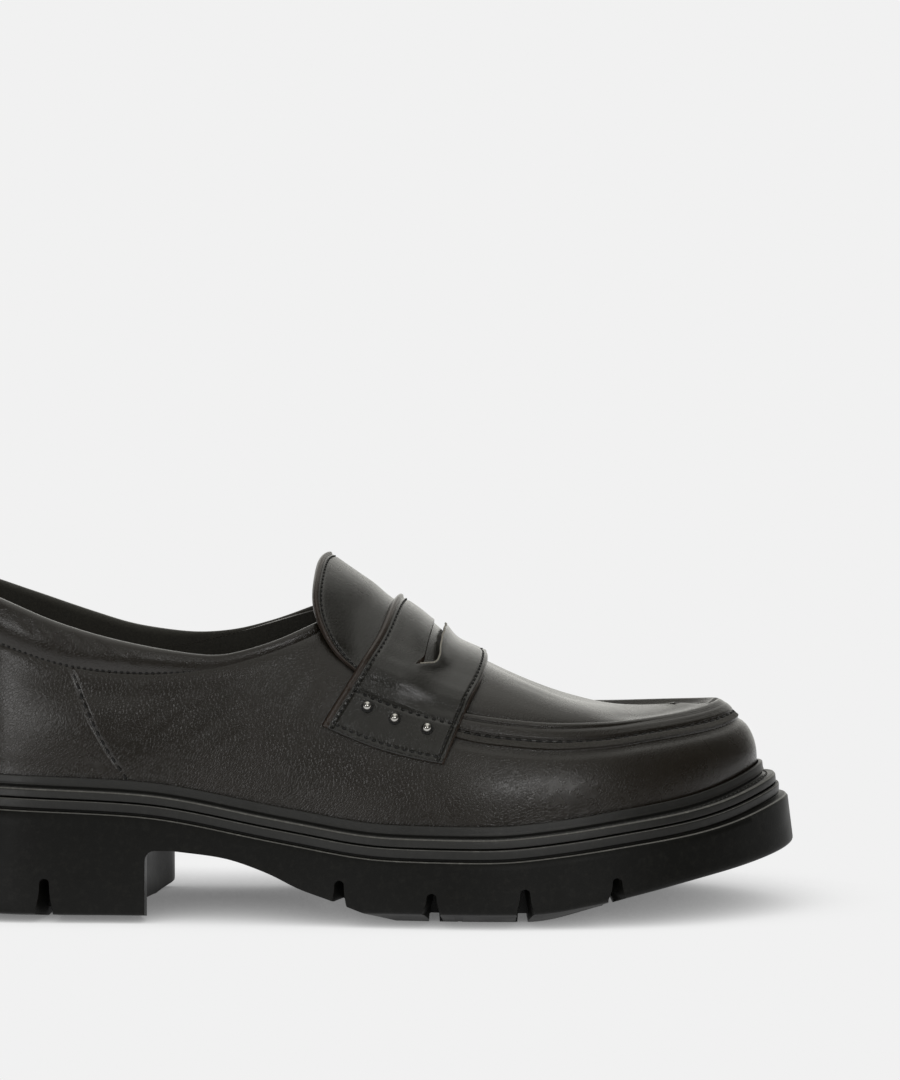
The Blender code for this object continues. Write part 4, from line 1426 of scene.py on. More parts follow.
@dataclass
class Strap(Band):
    """The saddle strap with its piped rear edge, stitched borders and the slot cut through it."""

    rear: Rows = ((-6.7, 59.7), (-0.4, 69.9), (6.2, 79.7), (10.6, 88.4), (13.4, 95.4))
    front: Rows = ((30.5, 48.4), (34.8, 58.4), (39, 67.3), (42.4, 73.5), (44.6, 76.5))
    thick: float = 1.6
    stations: int = 220
    middle_count: int = 40
    end_reach: float = 15.0
    end_count: int = 48
    gap: float = 0.55
    over_tongue: float = 2.7
    front_stand: float = 0.7
    # Shares of the width, and stations, between which the strap leaves the tongue and stands up in front
    over_share: Span = (0.35, 0.75)
    over_from: Span = (0.2, 0.42)
    front_share: Span = (0.6, 1.0)
    front_from: Span = (0.4, 0.9)
    rear_trim: float = 2.1
    front_trim: float = 0.5
    # Way in from the rear edge, height of the piping and its seam
    rear_rows: Rows = (
        (0, -1.2), (0.25, -0.2), (0.7, 0.45), (1.2, 0.55), (1.7, 0.3), (2.2, -0.2), (2.7, -0.1),
        (3.3, -0.25), (4.2, 0.05), (7, 0),
    )
    # Way in from the front edge, height of the turned edge and its stitched line
    front_rows: Rows = ((0, -0.9), (0.25, -0.3), (0.7, 0.1), (1.3, 0.12), (1.9, -0.25), (2.6, 0.08), (6, 0))
    # Way up from a lower end, height of the cut edge, its stitched line and the line over the studs
    end_rows: Rows = (
        (0, -0.5), (0.3, -0.1), (1, 0.05), (1.9, -0.22), (2.7, 0.05), (7, 0.1), (12.3, 0.1), (13.5, -0.35),
        (14.7, 0.1), (17, 0.15), (18.5, 0.45), (20, 0.95), (21.5, 1.25), (23.5, 1.2), (27, 0.6), (32, 0),
    )
    rear_stitch: float = 3.2
    front_stitch: float = 1.9
    end_stitch: float = 1.9
    patch_stitch: float = 13.5
    edge_thread: Stitch = Stitch(1.9, 1.35, 0.6, stand=0.12)
    end_thread: Stitch = Stitch(2.4, 1.55, 0.6, stand=0.12)
    # Way out from the middle, place along the shoe of the slot's rear and front lip
    slot_rows: Rows = (
        (0, 27.3, 31.1), (8, 27.1, 30.9), (14.7, 26.7, 30.5), (20, 26, 30), (24.7, 25.3, 29.4),
        (27, 24.9, 29.5), (29.4, 24.4, 28.8), (31, 23.6, 27.4), (32, 22.9, 25.8), (33, 22.2, 23.4),
        (33.6, 21.8, 21.9),
    )
    slot_floor: float = 60.0
    slot_top: float = 130.0
    slot_steps: int = 60
    # Height of the hand-cut waver of the slot's front lip, and its turn in a millimetre
    waver: Span = (0.12, 0.75)
    # Share of the slot's width that its raw edge is laid along, and the strands that draw it
    bead_share: float = 0.985
    bead: Stitch = Stitch(1.0, 1.25, 0.55, dip=0.0)
    # How far past the slot the lining goes, its shares of the strap's width, and the depths of its two faces
    lining_margin: float = 3.0
    lining_share: Span = (0.3, 0.72)
    lining_depths: Span = (0.05, 0.6)
    lip_rise: float = 0.75
    lip_press: float = 0.7
    # Widths of the raised and the pressed lip, shares of the slot's width where they fade, and their overlap
    rise_width: float = 2.2
    press_width: float = 3.0
    lip_fade: Span = (0.8, 1.08)
    lip_blend: Span = (-1.0, 1.0)
    unevenness: Waves = Waves(0.06, 11.0, 9.2)
    # Station towards the ridge and share of the width, of each stud
    stud_rows: Rows = ((0.219, 0.236), (0.208, 0.478), (0.204, 0.759))
    dimple_depth: float = 0.28
    dimple_width: float = 1.9
    creases: tuple[Crease, ...] = (
        Crease((25, 78), (30, 73), 0.08, 0.9), Crease((12, 79), (18, 76), 0.08, 0.9),
    )

    def lift(self) -> Array:
        """How far the strap stands off the upper: over the tongue behind, down on the vamp in front."""
        return self.lift_at(self.way, self.share)

    def lift_at(self, way: Array, share: Array) -> Array:
        """Measures how far the strap's underside stands off the last.

        Args:
            way: Stations counted from the nearer end.
            share: Shares of the width from the rear edge.

        Returns:
            Heights over the last.
        """
        over = (1 - ramp(share, *self.over_share)) * ramp(way, *self.over_from)
        proud = ramp(share, *self.front_share) * ramp(way, *self.front_from)
        return self.gap + (self.over_tongue - self.gap) * over + self.front_stand * proud

    def relief(self) -> Array:
        """Piping, stitched lines, slot lips, stud dimples and creases."""
        rear, front = column(self.rear_rows, 1, 0.08), column(self.front_rows, 1, 0.08)
        total = rear(self.from_rear) + front(self.from_front)
        total = total + column(self.end_rows, 1, 0.1)(self.from_end) + self.unevenness.at(self.spots)
        for crease in self.creases:
            total = total + crease.height(self.spots[..., 0], self.spots[..., 2])
        for spot in self.stud_spots():
            away = np.linalg.norm(self.spots - spot, axis=-1)
            total = total - self.dimple_depth * bell(away, self.dimple_width)
        return total + self.lips()

    def slot_edges(self, y: Array) -> tuple[Array, Array]:
        """The places along the shoe of the slot's rear and front lip, at these ways across it."""
        out = np.minimum(np.abs(y), self.slot_half)
        return column(self.slot_rows, 1)(out), column(self.slot_rows, 2)(out)

    @property
    def slot_half(self) -> float:
        """Half the slot's width across the shoe."""
        return self.slot_rows[-1][0]

    def slot_front(self, y: Array) -> Array:
        """The places along the shoe of the slot's front lip with its waver, at these ways across it."""
        height, turn = self.waver
        return self.slot_edges(y)[1] + height * np.sin(turn * y)

    def lips(self) -> Array:
        """Height of the slot's lips: the front one stands up, the rear one is pressed down."""
        x, y = np.moveaxis(self.spots + self.normals * (self.lift() + self.thick)[..., None], -1, 0)[:2]
        rear, front = self.slot_edges(y)
        ahead = x - (rear + front) / 2
        rise = self.lip_rise * bell(np.maximum(x - front, 0.0), self.rise_width)
        press = self.lip_press * bell(np.maximum(rear - x, 0.0), self.press_width)
        start, end = self.lip_fade
        fade = 1 - ramp(np.abs(y), start * self.slot_half, end * self.slot_half)
        return fade * (rise * ramp(ahead, *self.lip_blend) - press * ramp(-ahead, *self.lip_blend))

    def stud_places(self, side: Side) -> list[tuple[float, float, float]]:
        """Finds where the studs of one side sit on the last.

        Args:
            side: The side of the shoe.

        Returns:
            Ring, lean and lift of each stud's seat.
        """
        rear = self.edge_curves(self.rear)
        front = self.edge_curves(self.front)
        places = []
        for way, share in self.stud_rows:
            station = side.place(way)
            ring, lean = (float(a(station) * (1 - share) + b(station) * share) for a, b in zip(rear, front))
            places.append((ring, lean, float(self.lift_at(way, share)) + self.thick))
        return places

    def stud_spots(self) -> list[Array]:
        """The points of the last under every stud."""
        return [self.last.point(*place[:2]) for side in Side for place in self.stud_places(side)]

    def slot_cutter(self) -> Object:
        """Makes the shape that is cut through the strap, with the finish of its edge."""
        y = self.slot_half * np.sin(np.linspace(-QUARTER, QUARTER, self.slot_steps + 1))
        front = np.stack((self.slot_front(y), y), axis=-1)
        rear = np.stack((self.slot_edges(y)[0], y), axis=-1)
        outline = np.concatenate((front, rear[-2:0:-1]))
        ends = [np.insert(outline, 2, z, axis=1) for z in (self.slot_floor, self.slot_top)]
        return self.cutter("slot_cutter", [np.stack(ends)], self.palette.edge)

    def build(self, stitching: Stitching) -> None:
        """Makes the strap, cuts its slot and sews its borders.

        Args:
            stitching: Takes the rows of thread.
        """
        self.lay_out()
        piece = self.make("saddle_strap", "strap", [self.palette.strap, self.palette.edge])
        self.line_slot()
        self.bead_slot(piece)
        carve(piece, self.slot_cutter(), 50.0)
        self.sew_borders(stitching)

    def line_slot(self) -> None:
        """Lays a thin sheet of leather close under the slot."""
        share = self.share[len(self.spots) // 2]
        across = np.abs(self.spots[:, self.spots.shape[1] // 2, 1]) < self.slot_half + self.lining_margin
        part = np.ix_(across, (share > self.lining_share[0]) & (share < self.lining_share[1]))
        spots, normals, lift = self.spots[part], self.normals[part], self.lift()[part]
        upper, lower = (spots + normals * (lift - depth)[..., None] for depth in self.lining_depths)
        section = np.hstack((upper, lower[:, ::-1]))
        faces, _ = strip_faces(*section.shape[:2])
        self.add("slot_lining", section, faces, [self.palette.strap], "strap_leather")

    def bead_slot(self, piece: Object) -> None:
        """Lays the raw cut edge along the slot's front lip.

        Args:
            piece: The strap before its slot is cut.
        """
        bpy.context.view_layer.update()
        y = np.linspace(-self.bead_share, self.bead_share, 2 * self.slot_steps) * self.slot_half
        above = np.stack((self.slot_front(y), y, np.full(len(y), self.slot_top)), axis=-1) + self.last.shift
        hits = [piece.ray_cast(Vector(spot * MM), Vector((0.0, 0.0, -1.0))) for spot in above]
        path = np.array([hit[1] for hit in hits]) / MM - self.last.shift
        edge = Stitching(self.last, self.palette)
        edge.sew(path, np.array([hit[2] for hit in hits]), self.bead)
        edge.build("slot_raw_edge", self.palette.raw, "strap_leather")

    def sew_borders(self, stitching: Stitching) -> None:
        """Sews the lines along both edges, round the lower ends and over the studs."""
        face = self.face()
        first = self.row_at(self.rear_stitch)
        last = self.row_at(self.front_stitch, from_front=True)
        for row in (first, last):
            stitching.sew(face[:, row], self.normals[:, row], self.edge_thread)
        line = slice(first, last + 1)
        for way in (self.end_stitch, self.patch_stitch):
            near = int(np.argmin(np.abs(self.from_end[: len(face) // 2, 0] - way)))
            for station in (near, len(face) - 1 - near):
                stitching.sew(face[station, line], self.normals[station, line], self.end_thread)


@dataclass
class Studs(SubAssembly):
    """Polished domes on a small flange, riveted through the strap's lower ends; the flange is coloured black
    as a painted shadow ring round each dome.
    """

    radius: float = 1.52
    seat: float = 0.35
    around: int = 28
    dome_steps: int = 12
    # Turn of the dome down from its top, in degrees
    dome_turn: float = 112.0
    # Radius and height of the neck and flange under the dome, as shares of the dome's radius; they take the
    # black thread finish, a painted shadow ring
    foot_rows: Rows = ((0.78, -0.5), (1.16, -0.55), (1.22, -0.7), (0.9, -0.9), (0, -0.92))

    def build(self, strap: Strap) -> None:
        """Turns the studs and sets them in the strap's dimples.

        Args:
            strap: Gives the places of the studs.
        """
        angle = np.linspace(0.0, math.radians(self.dome_turn), self.dome_steps)
        dome = np.stack((np.sin(angle), np.cos(angle)), axis=-1)
        profile = np.concatenate((dome, self.foot_rows)) * self.radius
        turn = np.linspace(0.0, 2 * math.pi, self.around, endpoint=False)
        faces = sweep_faces(self.around, len(profile), wrap=True)
        marks = np.tile(np.arange(len(profile)) >= self.dome_steps, self.around)
        # The neck and flange are drawn in the black thread finish: a painted shadow ring round the dome, over
        # a real flange
        finishes = [self.palette.steel, self.palette.thread]
        for side in Side:
            for number, (ring, lean, lift) in enumerate(strap.stud_places(side), 1):
                axis = self.last.normal(ring, lean)
                across = unit(np.cross(axis, (0.0, 0.0, 1.0)))
                up = np.cross(across, axis)
                spokes = np.cos(turn)[:, None] * across + np.sin(turn)[:, None] * up
                middle = self.last.point(ring, lean) + axis * (lift + self.seat + self.radius / 2)
                points = middle + spokes[:, None, :] * profile[None, :, :1] + axis * profile[None, :, 1:]
                name = f"domed_stud_{side.word}_{number}"
                node = f"stud_{side.word}_{number}"
                self.add(name, points, faces, finishes, "stud_metal", [node], marks, sharp=35.0)


def rounded(corners: Rows, radius: float) -> Array:
    """Rounds every corner of a closed outline.

    Args:
        corners: The outline's corners in order.
        radius: How far back from a corner its curve starts.

    Returns:
        The points of the rounded outline.
    """
    spots = np.array(corners, float)
    u = np.linspace(0.0, 1.0, CORNER_POINTS)[:, None]
    # Most of an edge that one corner's curve may take up
    most = 0.42
    points = []
    for before, here, after in zip(np.roll(spots, 1, axis=0), spots, np.roll(spots, -1, axis=0)):
        back = min(radius, most * float(np.linalg.norm(before - here)))
        ahead = min(radius, most * float(np.linalg.norm(after - here)))
        start = here + unit(before - here) * back
        end = here + unit(after - here) * ahead
        points.append((1 - u) ** 2 * start + 2 * u * (1 - u) * here + u * u * end)
    return np.concatenate(points)


@dataclass
class Welt(SubAssembly):
    """The moulded strip round the upper: an upright rand, a groove with moulded stitches and a flat edge."""

    columns: int = 420
    # Outward from the feather line and up from it
    profile: Rows = (
        (-8, -3.4), (0.5, -3.4), (0.5, -0.3), (1.8, -0.3), (2.05, -2.4), (2.35, -2.9), (1.7, -3.8),
        (2, -4.3), (4.2, -4.3), (4.7, -3.8), (5.4, -3.75), (6.1, -4.4), (6.3, -6.35), (6, -6.6), (-8, -6.6),
    )
    round_off: float = 0.35
    # Rows of faces on the flat edge's upper corner, painted pale as a highlight
    painted_highlight: tuple[int, ...] = (53, 54, 55)
    stitch_out: float = 3.2
    stitch_up: float = -4.15
    moulded_stitch: Stitch = Stitch(2.0, 1.5, 0.6, dip=0.3)

    def build(self, stitching: Stitching) -> None:
        """Makes the strip and the moulded stitches in its groove.

        Args:
            stitching: Takes the row of stitches.
        """
        ring = self.last.even_rings(self.columns)
        outline = rounded(self.profile, self.round_off)
        section = np.stack([self.last.offset(ring, out, z) for out, z in outline], axis=1)
        faces = sweep_faces(len(ring), len(outline), wrap=True)
        marks = np.tile(np.isin(np.arange(len(outline)), self.painted_highlight), len(ring))
        finishes = [self.palette.welt, self.palette.painted_highlight]
        self.add("welt_strip", section, faces, finishes, "welt_rubber", ["welt"], marks)
        path = self.last.offset(np.append(ring, 2.0), self.stitch_out, self.stitch_up)
        stitching.sew(path, np.tile((0.0, 0.0, 1.0), (len(path), 1)), self.moulded_stitch)
        stitching.build("moulded_welt_stitches", self.palette.welt, "welt_rubber")


@dataclass
class Outsole(SubAssembly):
    """The moulded rubber unit: ribbed and ledged side, arch with a hollow heel breast, lugs and tread."""

    columns: int = 420
    # Outward from the feather line and up from it: bed of the welt, rib and ledge
    top_rows: Rows = (
        (-8.5, -3.5), (-8.5, -6.85), (6.9, -6.85), (7.3, -7.3), (7.3, -9.6), (7.1, -10.2), (9.4, -10.4),
        (10.2, -11.3),
    )
    top_round: float = 0.4
    # Rows of faces on the rib's and the ledge's upper edges, painted pale as a highlight, and on the rib's
    # face, which takes the welt's lighter grey rubber
    painted_highlight: tuple[int, ...] = (14, 15, 31, 32, 33)
    lightened: tuple[int, ...] = (16, 17, 18, 19, 20, 21)
    wall_foot: float = 12.0
    wall_rows: int = 10
    foot_round: float = 1.3
    tread_inset: float = 16.0
    # x, height of the wall's foot, height of the tread
    under_rows: Rows = (
        (-145, 3.4, 0), (-60, 2.6, 0), (0, 4.6, 0), (56, 4.7, 0), (77, 7.6, 4.2), (90, 10.2, 8),
        (108, 14, 12.6), (125, 17, 16), (136, 19.4, 18.6), (145, 21.8, 20.6),
    )
    breast_x: float = -60.2
    breast_hollow: float = 7.0
    breast_fillet: float = 3.0
    # x, height of the arch
    arch_rows: Rows = ((-52, 22.1), (-37, 20.3), (-23, 15.9), (-13, 11.2), (-4, 8.2), (6, 4.6), (20, -2))
    arch_half_width: float = 60.0
    cut_floor: float = -6.0
    # x and height of each lug notch
    notch_rows: Rows = ((0.1, 9.5), (27.6, 6.1), (54.4, 7.5), (80.4, 6.5), (-90.4, 10.7), (-118.5, 10.7))
    notch_top: float = 1.2
    notch_foot: float = 2.4
    # Outward from the wall, share of the notch's width there
    notch_slices: Rows = ((-14, 0.8), (-1.6, 1), (0, 1.3), (12, 3))
    # Shares of the notch's height at which its flank is drawn
    notch_rise: tuple[float, ...] = (0.0, 0.0, 0.25, 0.5, 0.75)
    # Shares of a groove's and a bar's half width at its foot and on top
    groove_flare: Span = (1.2, 0.85)
    bar_flare: Span = (1.3, 1.0)
    groove_half: float = 1.7
    groove_depth: float = 3.0
    # Middles of the shallow tread bars between the lugs
    bars: tuple[float, ...] = (13.8, 41.0, 67.4, 94.0, -76.0, -104.5)
    bar_half: float = 0.8
    bar_depth: float = 1.2
    bar_bow: float = 6.0

    def __post_init__(self) -> None:
        """Turns the tables to curves."""
        self.under_edge = column(self.under_rows, 1, 3.0)
        self.under_tread = column(self.under_rows, 2, 1.0)
        self.arch = column(self.arch_rows, 1, 1.5)

    def build(self) -> None:
        """Makes the unit and cuts the arch, the lug notches and the tread."""
        ring = self.last.even_rings(self.columns)
        # The last corner is where the wall starts, and stays sharp
        shoulder = rounded(self.top_rows, self.top_round)[:-CORNER_POINTS]
        rows = [self.last.offset(ring, out, z) for out, z in shoulder]
        head = self.last.offset(ring, *self.top_rows[-1])
        foot = self.last.offset(ring, self.wall_foot, self.under_edge)
        inset = self.wall_foot * self.last.margin(self.last.feather(ring)[:, 0]) - self.tread_inset
        tread = self.last.offset(ring, np.minimum(inset, -0.001), self.under_tread)
        drop = np.linalg.norm(foot - head, axis=-1, keepdims=True)
        run = np.linalg.norm(tread - foot, axis=-1, keepdims=True)
        for share in np.linspace(0.0, 1.0, self.wall_rows):
            rows.append(head + (foot - head) * share * (1 - self.foot_round / drop))
        start = foot + (head - foot) * self.foot_round / drop
        end = foot + (tread - foot) * self.foot_round / run
        for u in np.linspace(0.0, 1.0, CORNER_POINTS)[1:]:
            rows.append((1 - u) ** 2 * start + 2 * u * (1 - u) * foot + u * u * end)
        rows.append(tread)
        section = np.stack(rows, axis=1)
        count = len(rows)
        faces = sole_faces(len(ring), count)
        row = np.arange(count - 1)
        # Faces on the rib's and the ledge's upper edges take the pale rubber, a painted highlight
        kinds = np.isin(row, self.painted_highlight) + 2 * np.isin(row, self.lightened)
        marks = np.zeros(len(faces), int)
        marks[: len(ring) * len(row)] = np.tile(kinds, len(ring))
        # The third finish, the welt's lighter grey rubber, goes on the rib's face
        finishes = [self.palette.rubber, self.palette.painted_highlight, self.palette.welt]
        piece = self.add("lugged_outsole", section, faces, finishes, "outsole_rubber", ["outsole"], marks)
        cuts = {
            "arch_cutter": self.arch_blocks(),
            "notch_cutter": self.notch_blocks(),
            "groove_cutter": self.groove_blocks(),
            "bar_cutter": self.bar_blocks(),
        }
        for name, blocks in cuts.items():
            carve(piece, self.cutter(name, blocks, self.palette.rubber), 32.0)

    def arch_blocks(self) -> list[Array]:
        """What is cut from under the waist: a ceiling swept across, its back hollowed into the heel."""
        first, last = self.arch_rows[0], self.arch_rows[-1]
        ceiling = np.linspace(first[0], last[0], 48)
        slices = []
        for y in np.linspace(-self.arch_half_width, self.arch_half_width, 49):
            half = self.last.lateral(self.last.turn_of(self.breast_x))
            back = self.breast_x - self.breast_hollow * max(1 - (y / half) ** 2, 0.0)
            turn = np.linspace(0.0, QUARTER, 6)
            bend_x = back + self.breast_fillet * (1 - np.cos(turn))
            bend_z = first[1] - self.breast_fillet * (1 - np.sin(turn))
            x = np.concatenate(([last[0], back], bend_x, ceiling))
            z = np.concatenate(([self.cut_floor, self.cut_floor], bend_z, self.arch(ceiling)))
            slices.append(np.stack((x, np.full(len(x), y), z), axis=-1))
        return [np.stack(slices)]

    def notch_blocks(self) -> list[Array]:
        """The lug notches: round on top, flared at the foot and where they leave the wall."""
        blocks = []
        angle = np.linspace(0.0, math.pi, 13)
        rise = np.array(self.notch_rise)
        up = np.array((0.0, 0.0, 1.0))
        for x, height in self.notch_rows:
            for side in Side:
                ring = np.array([side.place(self.last.turn_of(x))])
                edge = self.last.offset(ring, self.wall_foot, self.under_edge)[0]
                along = self.last.feather(ring + 1e-3)[0] - self.last.feather(ring - 1e-3)[0]
                along = unit(along * (1.0, 1.0, 0.0))
                outward = np.array((along[1], -along[0], 0.0))
                foot = min(edge[2], float(self.under_tread(edge[0]))) + self.cut_floor
                shoulder = edge[2] + height - self.notch_top
                flank = self.notch_top + (self.notch_foot - self.notch_top) * (1 - rise) ** 2
                wide = np.concatenate((flank, self.notch_top * np.cos(angle), -flank[::-1]))
                up_flank = np.append(foot, edge[2] + (shoulder - edge[2]) * rise[1:])
                high = np.concatenate((up_flank, shoulder + self.notch_top * np.sin(angle), up_flank[::-1]))
                slices = []
                for out, grow in self.notch_slices:
                    base = edge * (1.0, 1.0, 0.0) + outward * out
                    slices.append(base + along * (wide * grow)[:, None] + up * high[:, None])
                blocks.append(np.stack(slices))
        return blocks

    def trough(self, x: float, y: float, half: float, depth: float, flare: Span) -> Array:
        """Draws one cross-section of a groove in the tread.

        Args:
            x: Its middle along the shoe.
            y: Its place across the shoe.
            half: Half its width.
            depth: How far it goes up into the tread.
            flare: Shares of the half width at its foot and on top.

        Returns:
            Its four corners.
        """
        foot, head = flare
        top = float(self.under_tread(x)) + depth
        corners = ((-foot, self.cut_floor), (foot, self.cut_floor), (head, top), (-head, top))
        return np.array([(x + half * wide, y, z) for wide, z in corners])

    def groove_blocks(self) -> list[Array]:
        """The tread grooves that join the notches across the sole."""
        blocks = []
        for x, _ in self.notch_rows:
            turn = self.last.turn_of(x)
            ends = (-float(self.last.lateral(turn)), float(self.last.medial(turn)))
            sizes = (self.groove_half, self.groove_depth, self.groove_flare)
            blocks.append(np.stack([self.trough(x, y, *sizes) for y in ends]))
        return blocks

    def bar_blocks(self) -> list[Array]:
        """The shallow bowed tread bars between the lugs."""
        blocks = []
        for x in self.bars:
            turn = self.last.turn_of(x)
            near = -float(self.last.lateral(turn)) + self.tread_inset / 2
            far = float(self.last.medial(turn)) - self.tread_inset / 2
            slices = []
            for y in np.linspace(near, far, 13):
                share = (2 * y - near - far) / (far - near)
                middle = x - self.bar_bow * share * share
                slices.append(self.trough(middle, y, self.bar_half, self.bar_depth, self.bar_flare))
            blocks.append(np.stack(slices))
        return blocks


@dataclass
class Insole(SubAssembly):
    """The board that closes the upper underneath, covered with a felt sock."""

    columns: int = 200
    # Outward from the feather line and up from it
    profile: Rows = ((-2.7, -3), (-2.7, 0.3), (-2.9, 0.9), (-3.6, 1.3), (-5.5, 1.4), (-9, 1.2), (-14, 0.9))

    def build(self) -> None:
        """Makes the board and its sock."""
        ring = self.last.even_rings(self.columns)
        section = np.stack([self.last.offset(ring, out, z) for out, z in self.profile], axis=1)
        faces = sole_faces(len(ring), len(self.profile))
        self.add("felt_sock", section, faces, [self.palette.felt], "sock_felt", ["insole"])


@dataclass(frozen=True)
class Panel:
    """A soft light: its place, width and height in metres, its power in watts and the point that it faces."""

    name: str
    place: Place
    size: Span
    power: float
    target: Place = (0.0, 0.0, 0.05)

    def build(self) -> None:
        """Hangs the light, which the camera doesn't see."""
        data = bpy.data.lights.new(self.name, "AREA")
        data.shape = "RECTANGLE"
        data.size, data.size_y = self.size
        data.energy = self.power
        made = bpy.data.objects.new(self.name, data)
        made.location = self.place
        made.rotation_euler = (Vector(self.target) - Vector(self.place)).to_track_quat("-Z", "Y").to_euler()
        made.visible_camera = False
        bpy.context.scene.collection.objects.link(made)


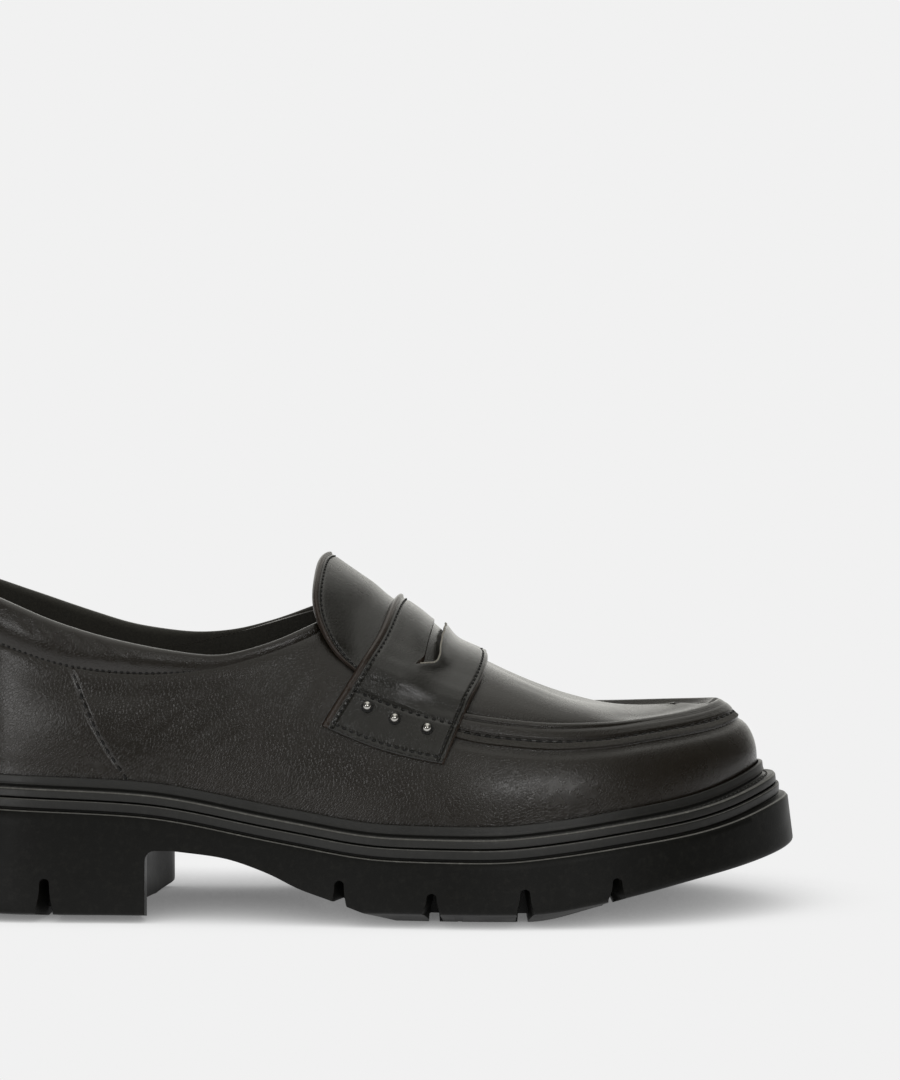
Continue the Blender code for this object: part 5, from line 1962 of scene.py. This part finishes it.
@dataclass
class Studio:
    """Pale floor and backdrop, soft lights in front, a dim surround with walls of light, and the camera."""

    backdrop: str = "#f1f1f1"
    floor_size: float = 9.0
    # Near edge of the floor, past the shoe's shadow; the backdrop goes on in the same tone
    floor_front: float = -0.14
    # How far round a point of the floor the occlusion test of the painted shadow reaches, the painted tone
    # left under the sole, and the share of open sky that counts as free
    shadow_reach: float = 0.06
    shadow_level: float = 0.03
    shadow_free: float = 0.9
    # Direction that the painted shadow's occlusion test faces: up, and towards the camera's side
    shadow_facing: Place = (0.0, -0.6, 0.8)
    camera_place: Place = (32.4, -740.0, 116.3)
    # Focal length in pixels of the 900 by 1080 frame
    focal_pixels: float = 2309.0
    frame_height: float = 1080.0
    sensor: float = 36.0
    tint: str = "#fffef8"
    side_level: float = 0.08
    # Direction that a soft wall of light faces, where its glow starts and is full as a cosine, and its level
    walls: tuple[tuple[Place, float, float, float], ...] = (
        ((0.0, -0.97, 0.24), 0.5, 0.92, 0.1),
        ((0.0, -0.8, 0.6), 0.8, 0.98, 0.4),
        ((0.1, -0.15, 0.98), 0.75, 0.97, 0.75),
        ((0.0, 0.8, 0.6), 0.35, 0.95, 0.66),
        ((0.0, 1.0, 0.0), 0.4, 0.95, 0.5),
    )
    panels: tuple[Panel, ...] = (
        Panel("front_strip", (0.26, -1.2, 0.25), (0.56, 0.14), 1.5),
        Panel("left_front_panel", (-0.73, -1.02, 0.11), (0.34, 0.36), 1.6),
    )

    def build(self) -> None:
        """Sets up the whole studio."""
        scene = bpy.context.scene
        scene.view_settings.view_transform = "Standard"
        self.build_floor()
        self.build_backdrop()
        self.build_world()
        for panel in self.panels:
            panel.build()
        self.build_camera()

    def build_floor(self) -> None:
        """Lays the floor: an even glow, with soft contact shadows round the sole painted from ambient
        occlusion.
        """
        made, tree, _ = new_material("back_lit_paper_floor")
        facing = add_node(tree, "CombineXYZ", dict(enumerate(self.shadow_facing)))
        near = {"Distance": self.shadow_reach, "Normal": facing.outputs["Vector"]}
        open_sky = add_node(tree, "AmbientOcclusion", near, samples=16)
        tone = {"Value": open_sky.outputs["AO"], "From Max": self.shadow_free, "To Min": self.shadow_level}
        level = add_node(tree, "MapRange", tone).outputs["Result"]
        glow = add_node(tree, "Emission", {"Color": linear(self.backdrop), "Strength": level})
        add_node(tree, "OutputMaterial", {"Surface": glow.outputs["Emission"]})
        mesh = bmesh.new()
        ends = ((-self.floor_size, self.floor_front), (self.floor_size, self.floor_front))
        far = ((self.floor_size, self.floor_size), (-self.floor_size, self.floor_size))
        mesh.faces.new([mesh.verts.new((x, y, 0.0)) for x, y in ends + far])
        self.stage_object("paper_floor", mesh, made)

    def build_backdrop(self) -> None:
        """Hangs an even backdrop all round, which only the camera sees."""
        made, tree, _ = new_material("even_backdrop")
        glow = add_node(tree, "Emission", {"Color": linear(self.backdrop)})
        add_node(tree, "OutputMaterial", {"Surface": glow.outputs["Emission"]})
        mesh = bmesh.new()
        bmesh.ops.create_uvsphere(mesh, u_segments=48, v_segments=24, radius=self.floor_size * 0.95)
        shell = self.stage_object("studio_backdrop", mesh, made)
        for ray in ("diffuse", "glossy", "transmission", "shadow"):
            setattr(shell, f"visible_{ray}", False)

    def stage_object(self, name: str, mesh: bmesh.types.BMesh, finish: Material) -> Object:
        """Adds an object that is not part of the shoe.

        Args:
            name: The object's name.
            mesh: Its shape in metres, which is used up.
            finish: Its material.

        Returns:
            The new object.
        """
        data = bpy.data.meshes.new(name)
        mesh.to_mesh(data)
        mesh.free()
        data.materials.append(finish)
        made = bpy.data.objects.new(name, data)
        bpy.context.scene.collection.objects.link(made)
        return made

    def build_world(self) -> None:
        """Makes a surround that is dim but for soft walls of light in front, above and behind."""
        world = bpy.data.worlds.new("studio_surround")
        world.use_nodes = True
        tree = world.node_tree
        tree.nodes.clear()
        facing = add_node(tree, "TexCoord").outputs["Generated"]
        level = self.side_level
        for towards, glow_from, glow_full, amount in self.walls:
            near = add_node(tree, "VectorMath", {0: facing, 1: towards}, operation="DOT_PRODUCT")
            reach = {"Value": near.outputs["Value"], "From Min": glow_from, "From Max": glow_full}
            part = add_node(tree, "MapRange", reach | {"To Max": amount}, interpolation_type="SMOOTHSTEP")
            level = add_node(tree, "Math", {0: part.outputs["Result"], 1: level}).outputs["Value"]
        glow = add_node(tree, "Background", {"Color": linear(self.tint), "Strength": level})
        add_node(tree, "OutputWorld", {"Surface": glow.outputs["Background"]})
        bpy.context.scene.world = world

    def build_camera(self) -> None:
        """Sets the camera level with the collar, square to the outer side."""
        data = bpy.data.cameras.new("photo_view")
        data.sensor_width = self.sensor
        data.lens = self.focal_pixels / self.frame_height * self.sensor
        data.clip_end = 100.0
        made = bpy.data.objects.new("photo_view", data)
        made.location = Vector(self.camera_place) * MM
        made.rotation_euler = (QUARTER, 0.0, 0.0)
        bpy.context.scene.collection.objects.link(made)
        bpy.context.scene.camera = made


def centre_on_frame(last: Last, outsole: Outsole) -> None:
    """Moves the last so that its sole has the middle of the frame's own outsole."""
    low, high = (np.array(corner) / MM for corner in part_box("outsole"))
    outline = last.offset(last.even_rings(outsole.columns), outsole.wall_foot, outsole.under_edge)
    middle = (outline.min(axis=0) + outline.max(axis=0)) / 2
    last.shift = ((low + high) / 2 - middle) * (1.0, 1.0, 0.0)


def main() -> None:
    """Builds the shoe on its frame, piece by piece, and then the studio."""
    logging.basicConfig(level=logging.INFO, format="%(name)s: %(message)s")
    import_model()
    last = Last()
    palette = Palette()
    outsole = Outsole(last, palette)
    centre_on_frame(last, outsole)
    outsole.build()
    Insole(last, palette).build()
    stitching = Stitching(last, palette)
    Welt(last, palette).build(stitching)
    upper = Upper(last, palette)
    upper.build(stitching)
    Plug(last, palette).build(upper)
    Collar(last, palette).build(stitching)
    Tongue(last, palette).build(stitching)
    strap = Strap(last, palette)
    strap.build(stitching)
    stitching.build("sewn_stitches", palette.thread, "upper_leather")
    Studs(last, palette).build(strap)
    Studio().build()


if __name__ == "__main__":
    main()
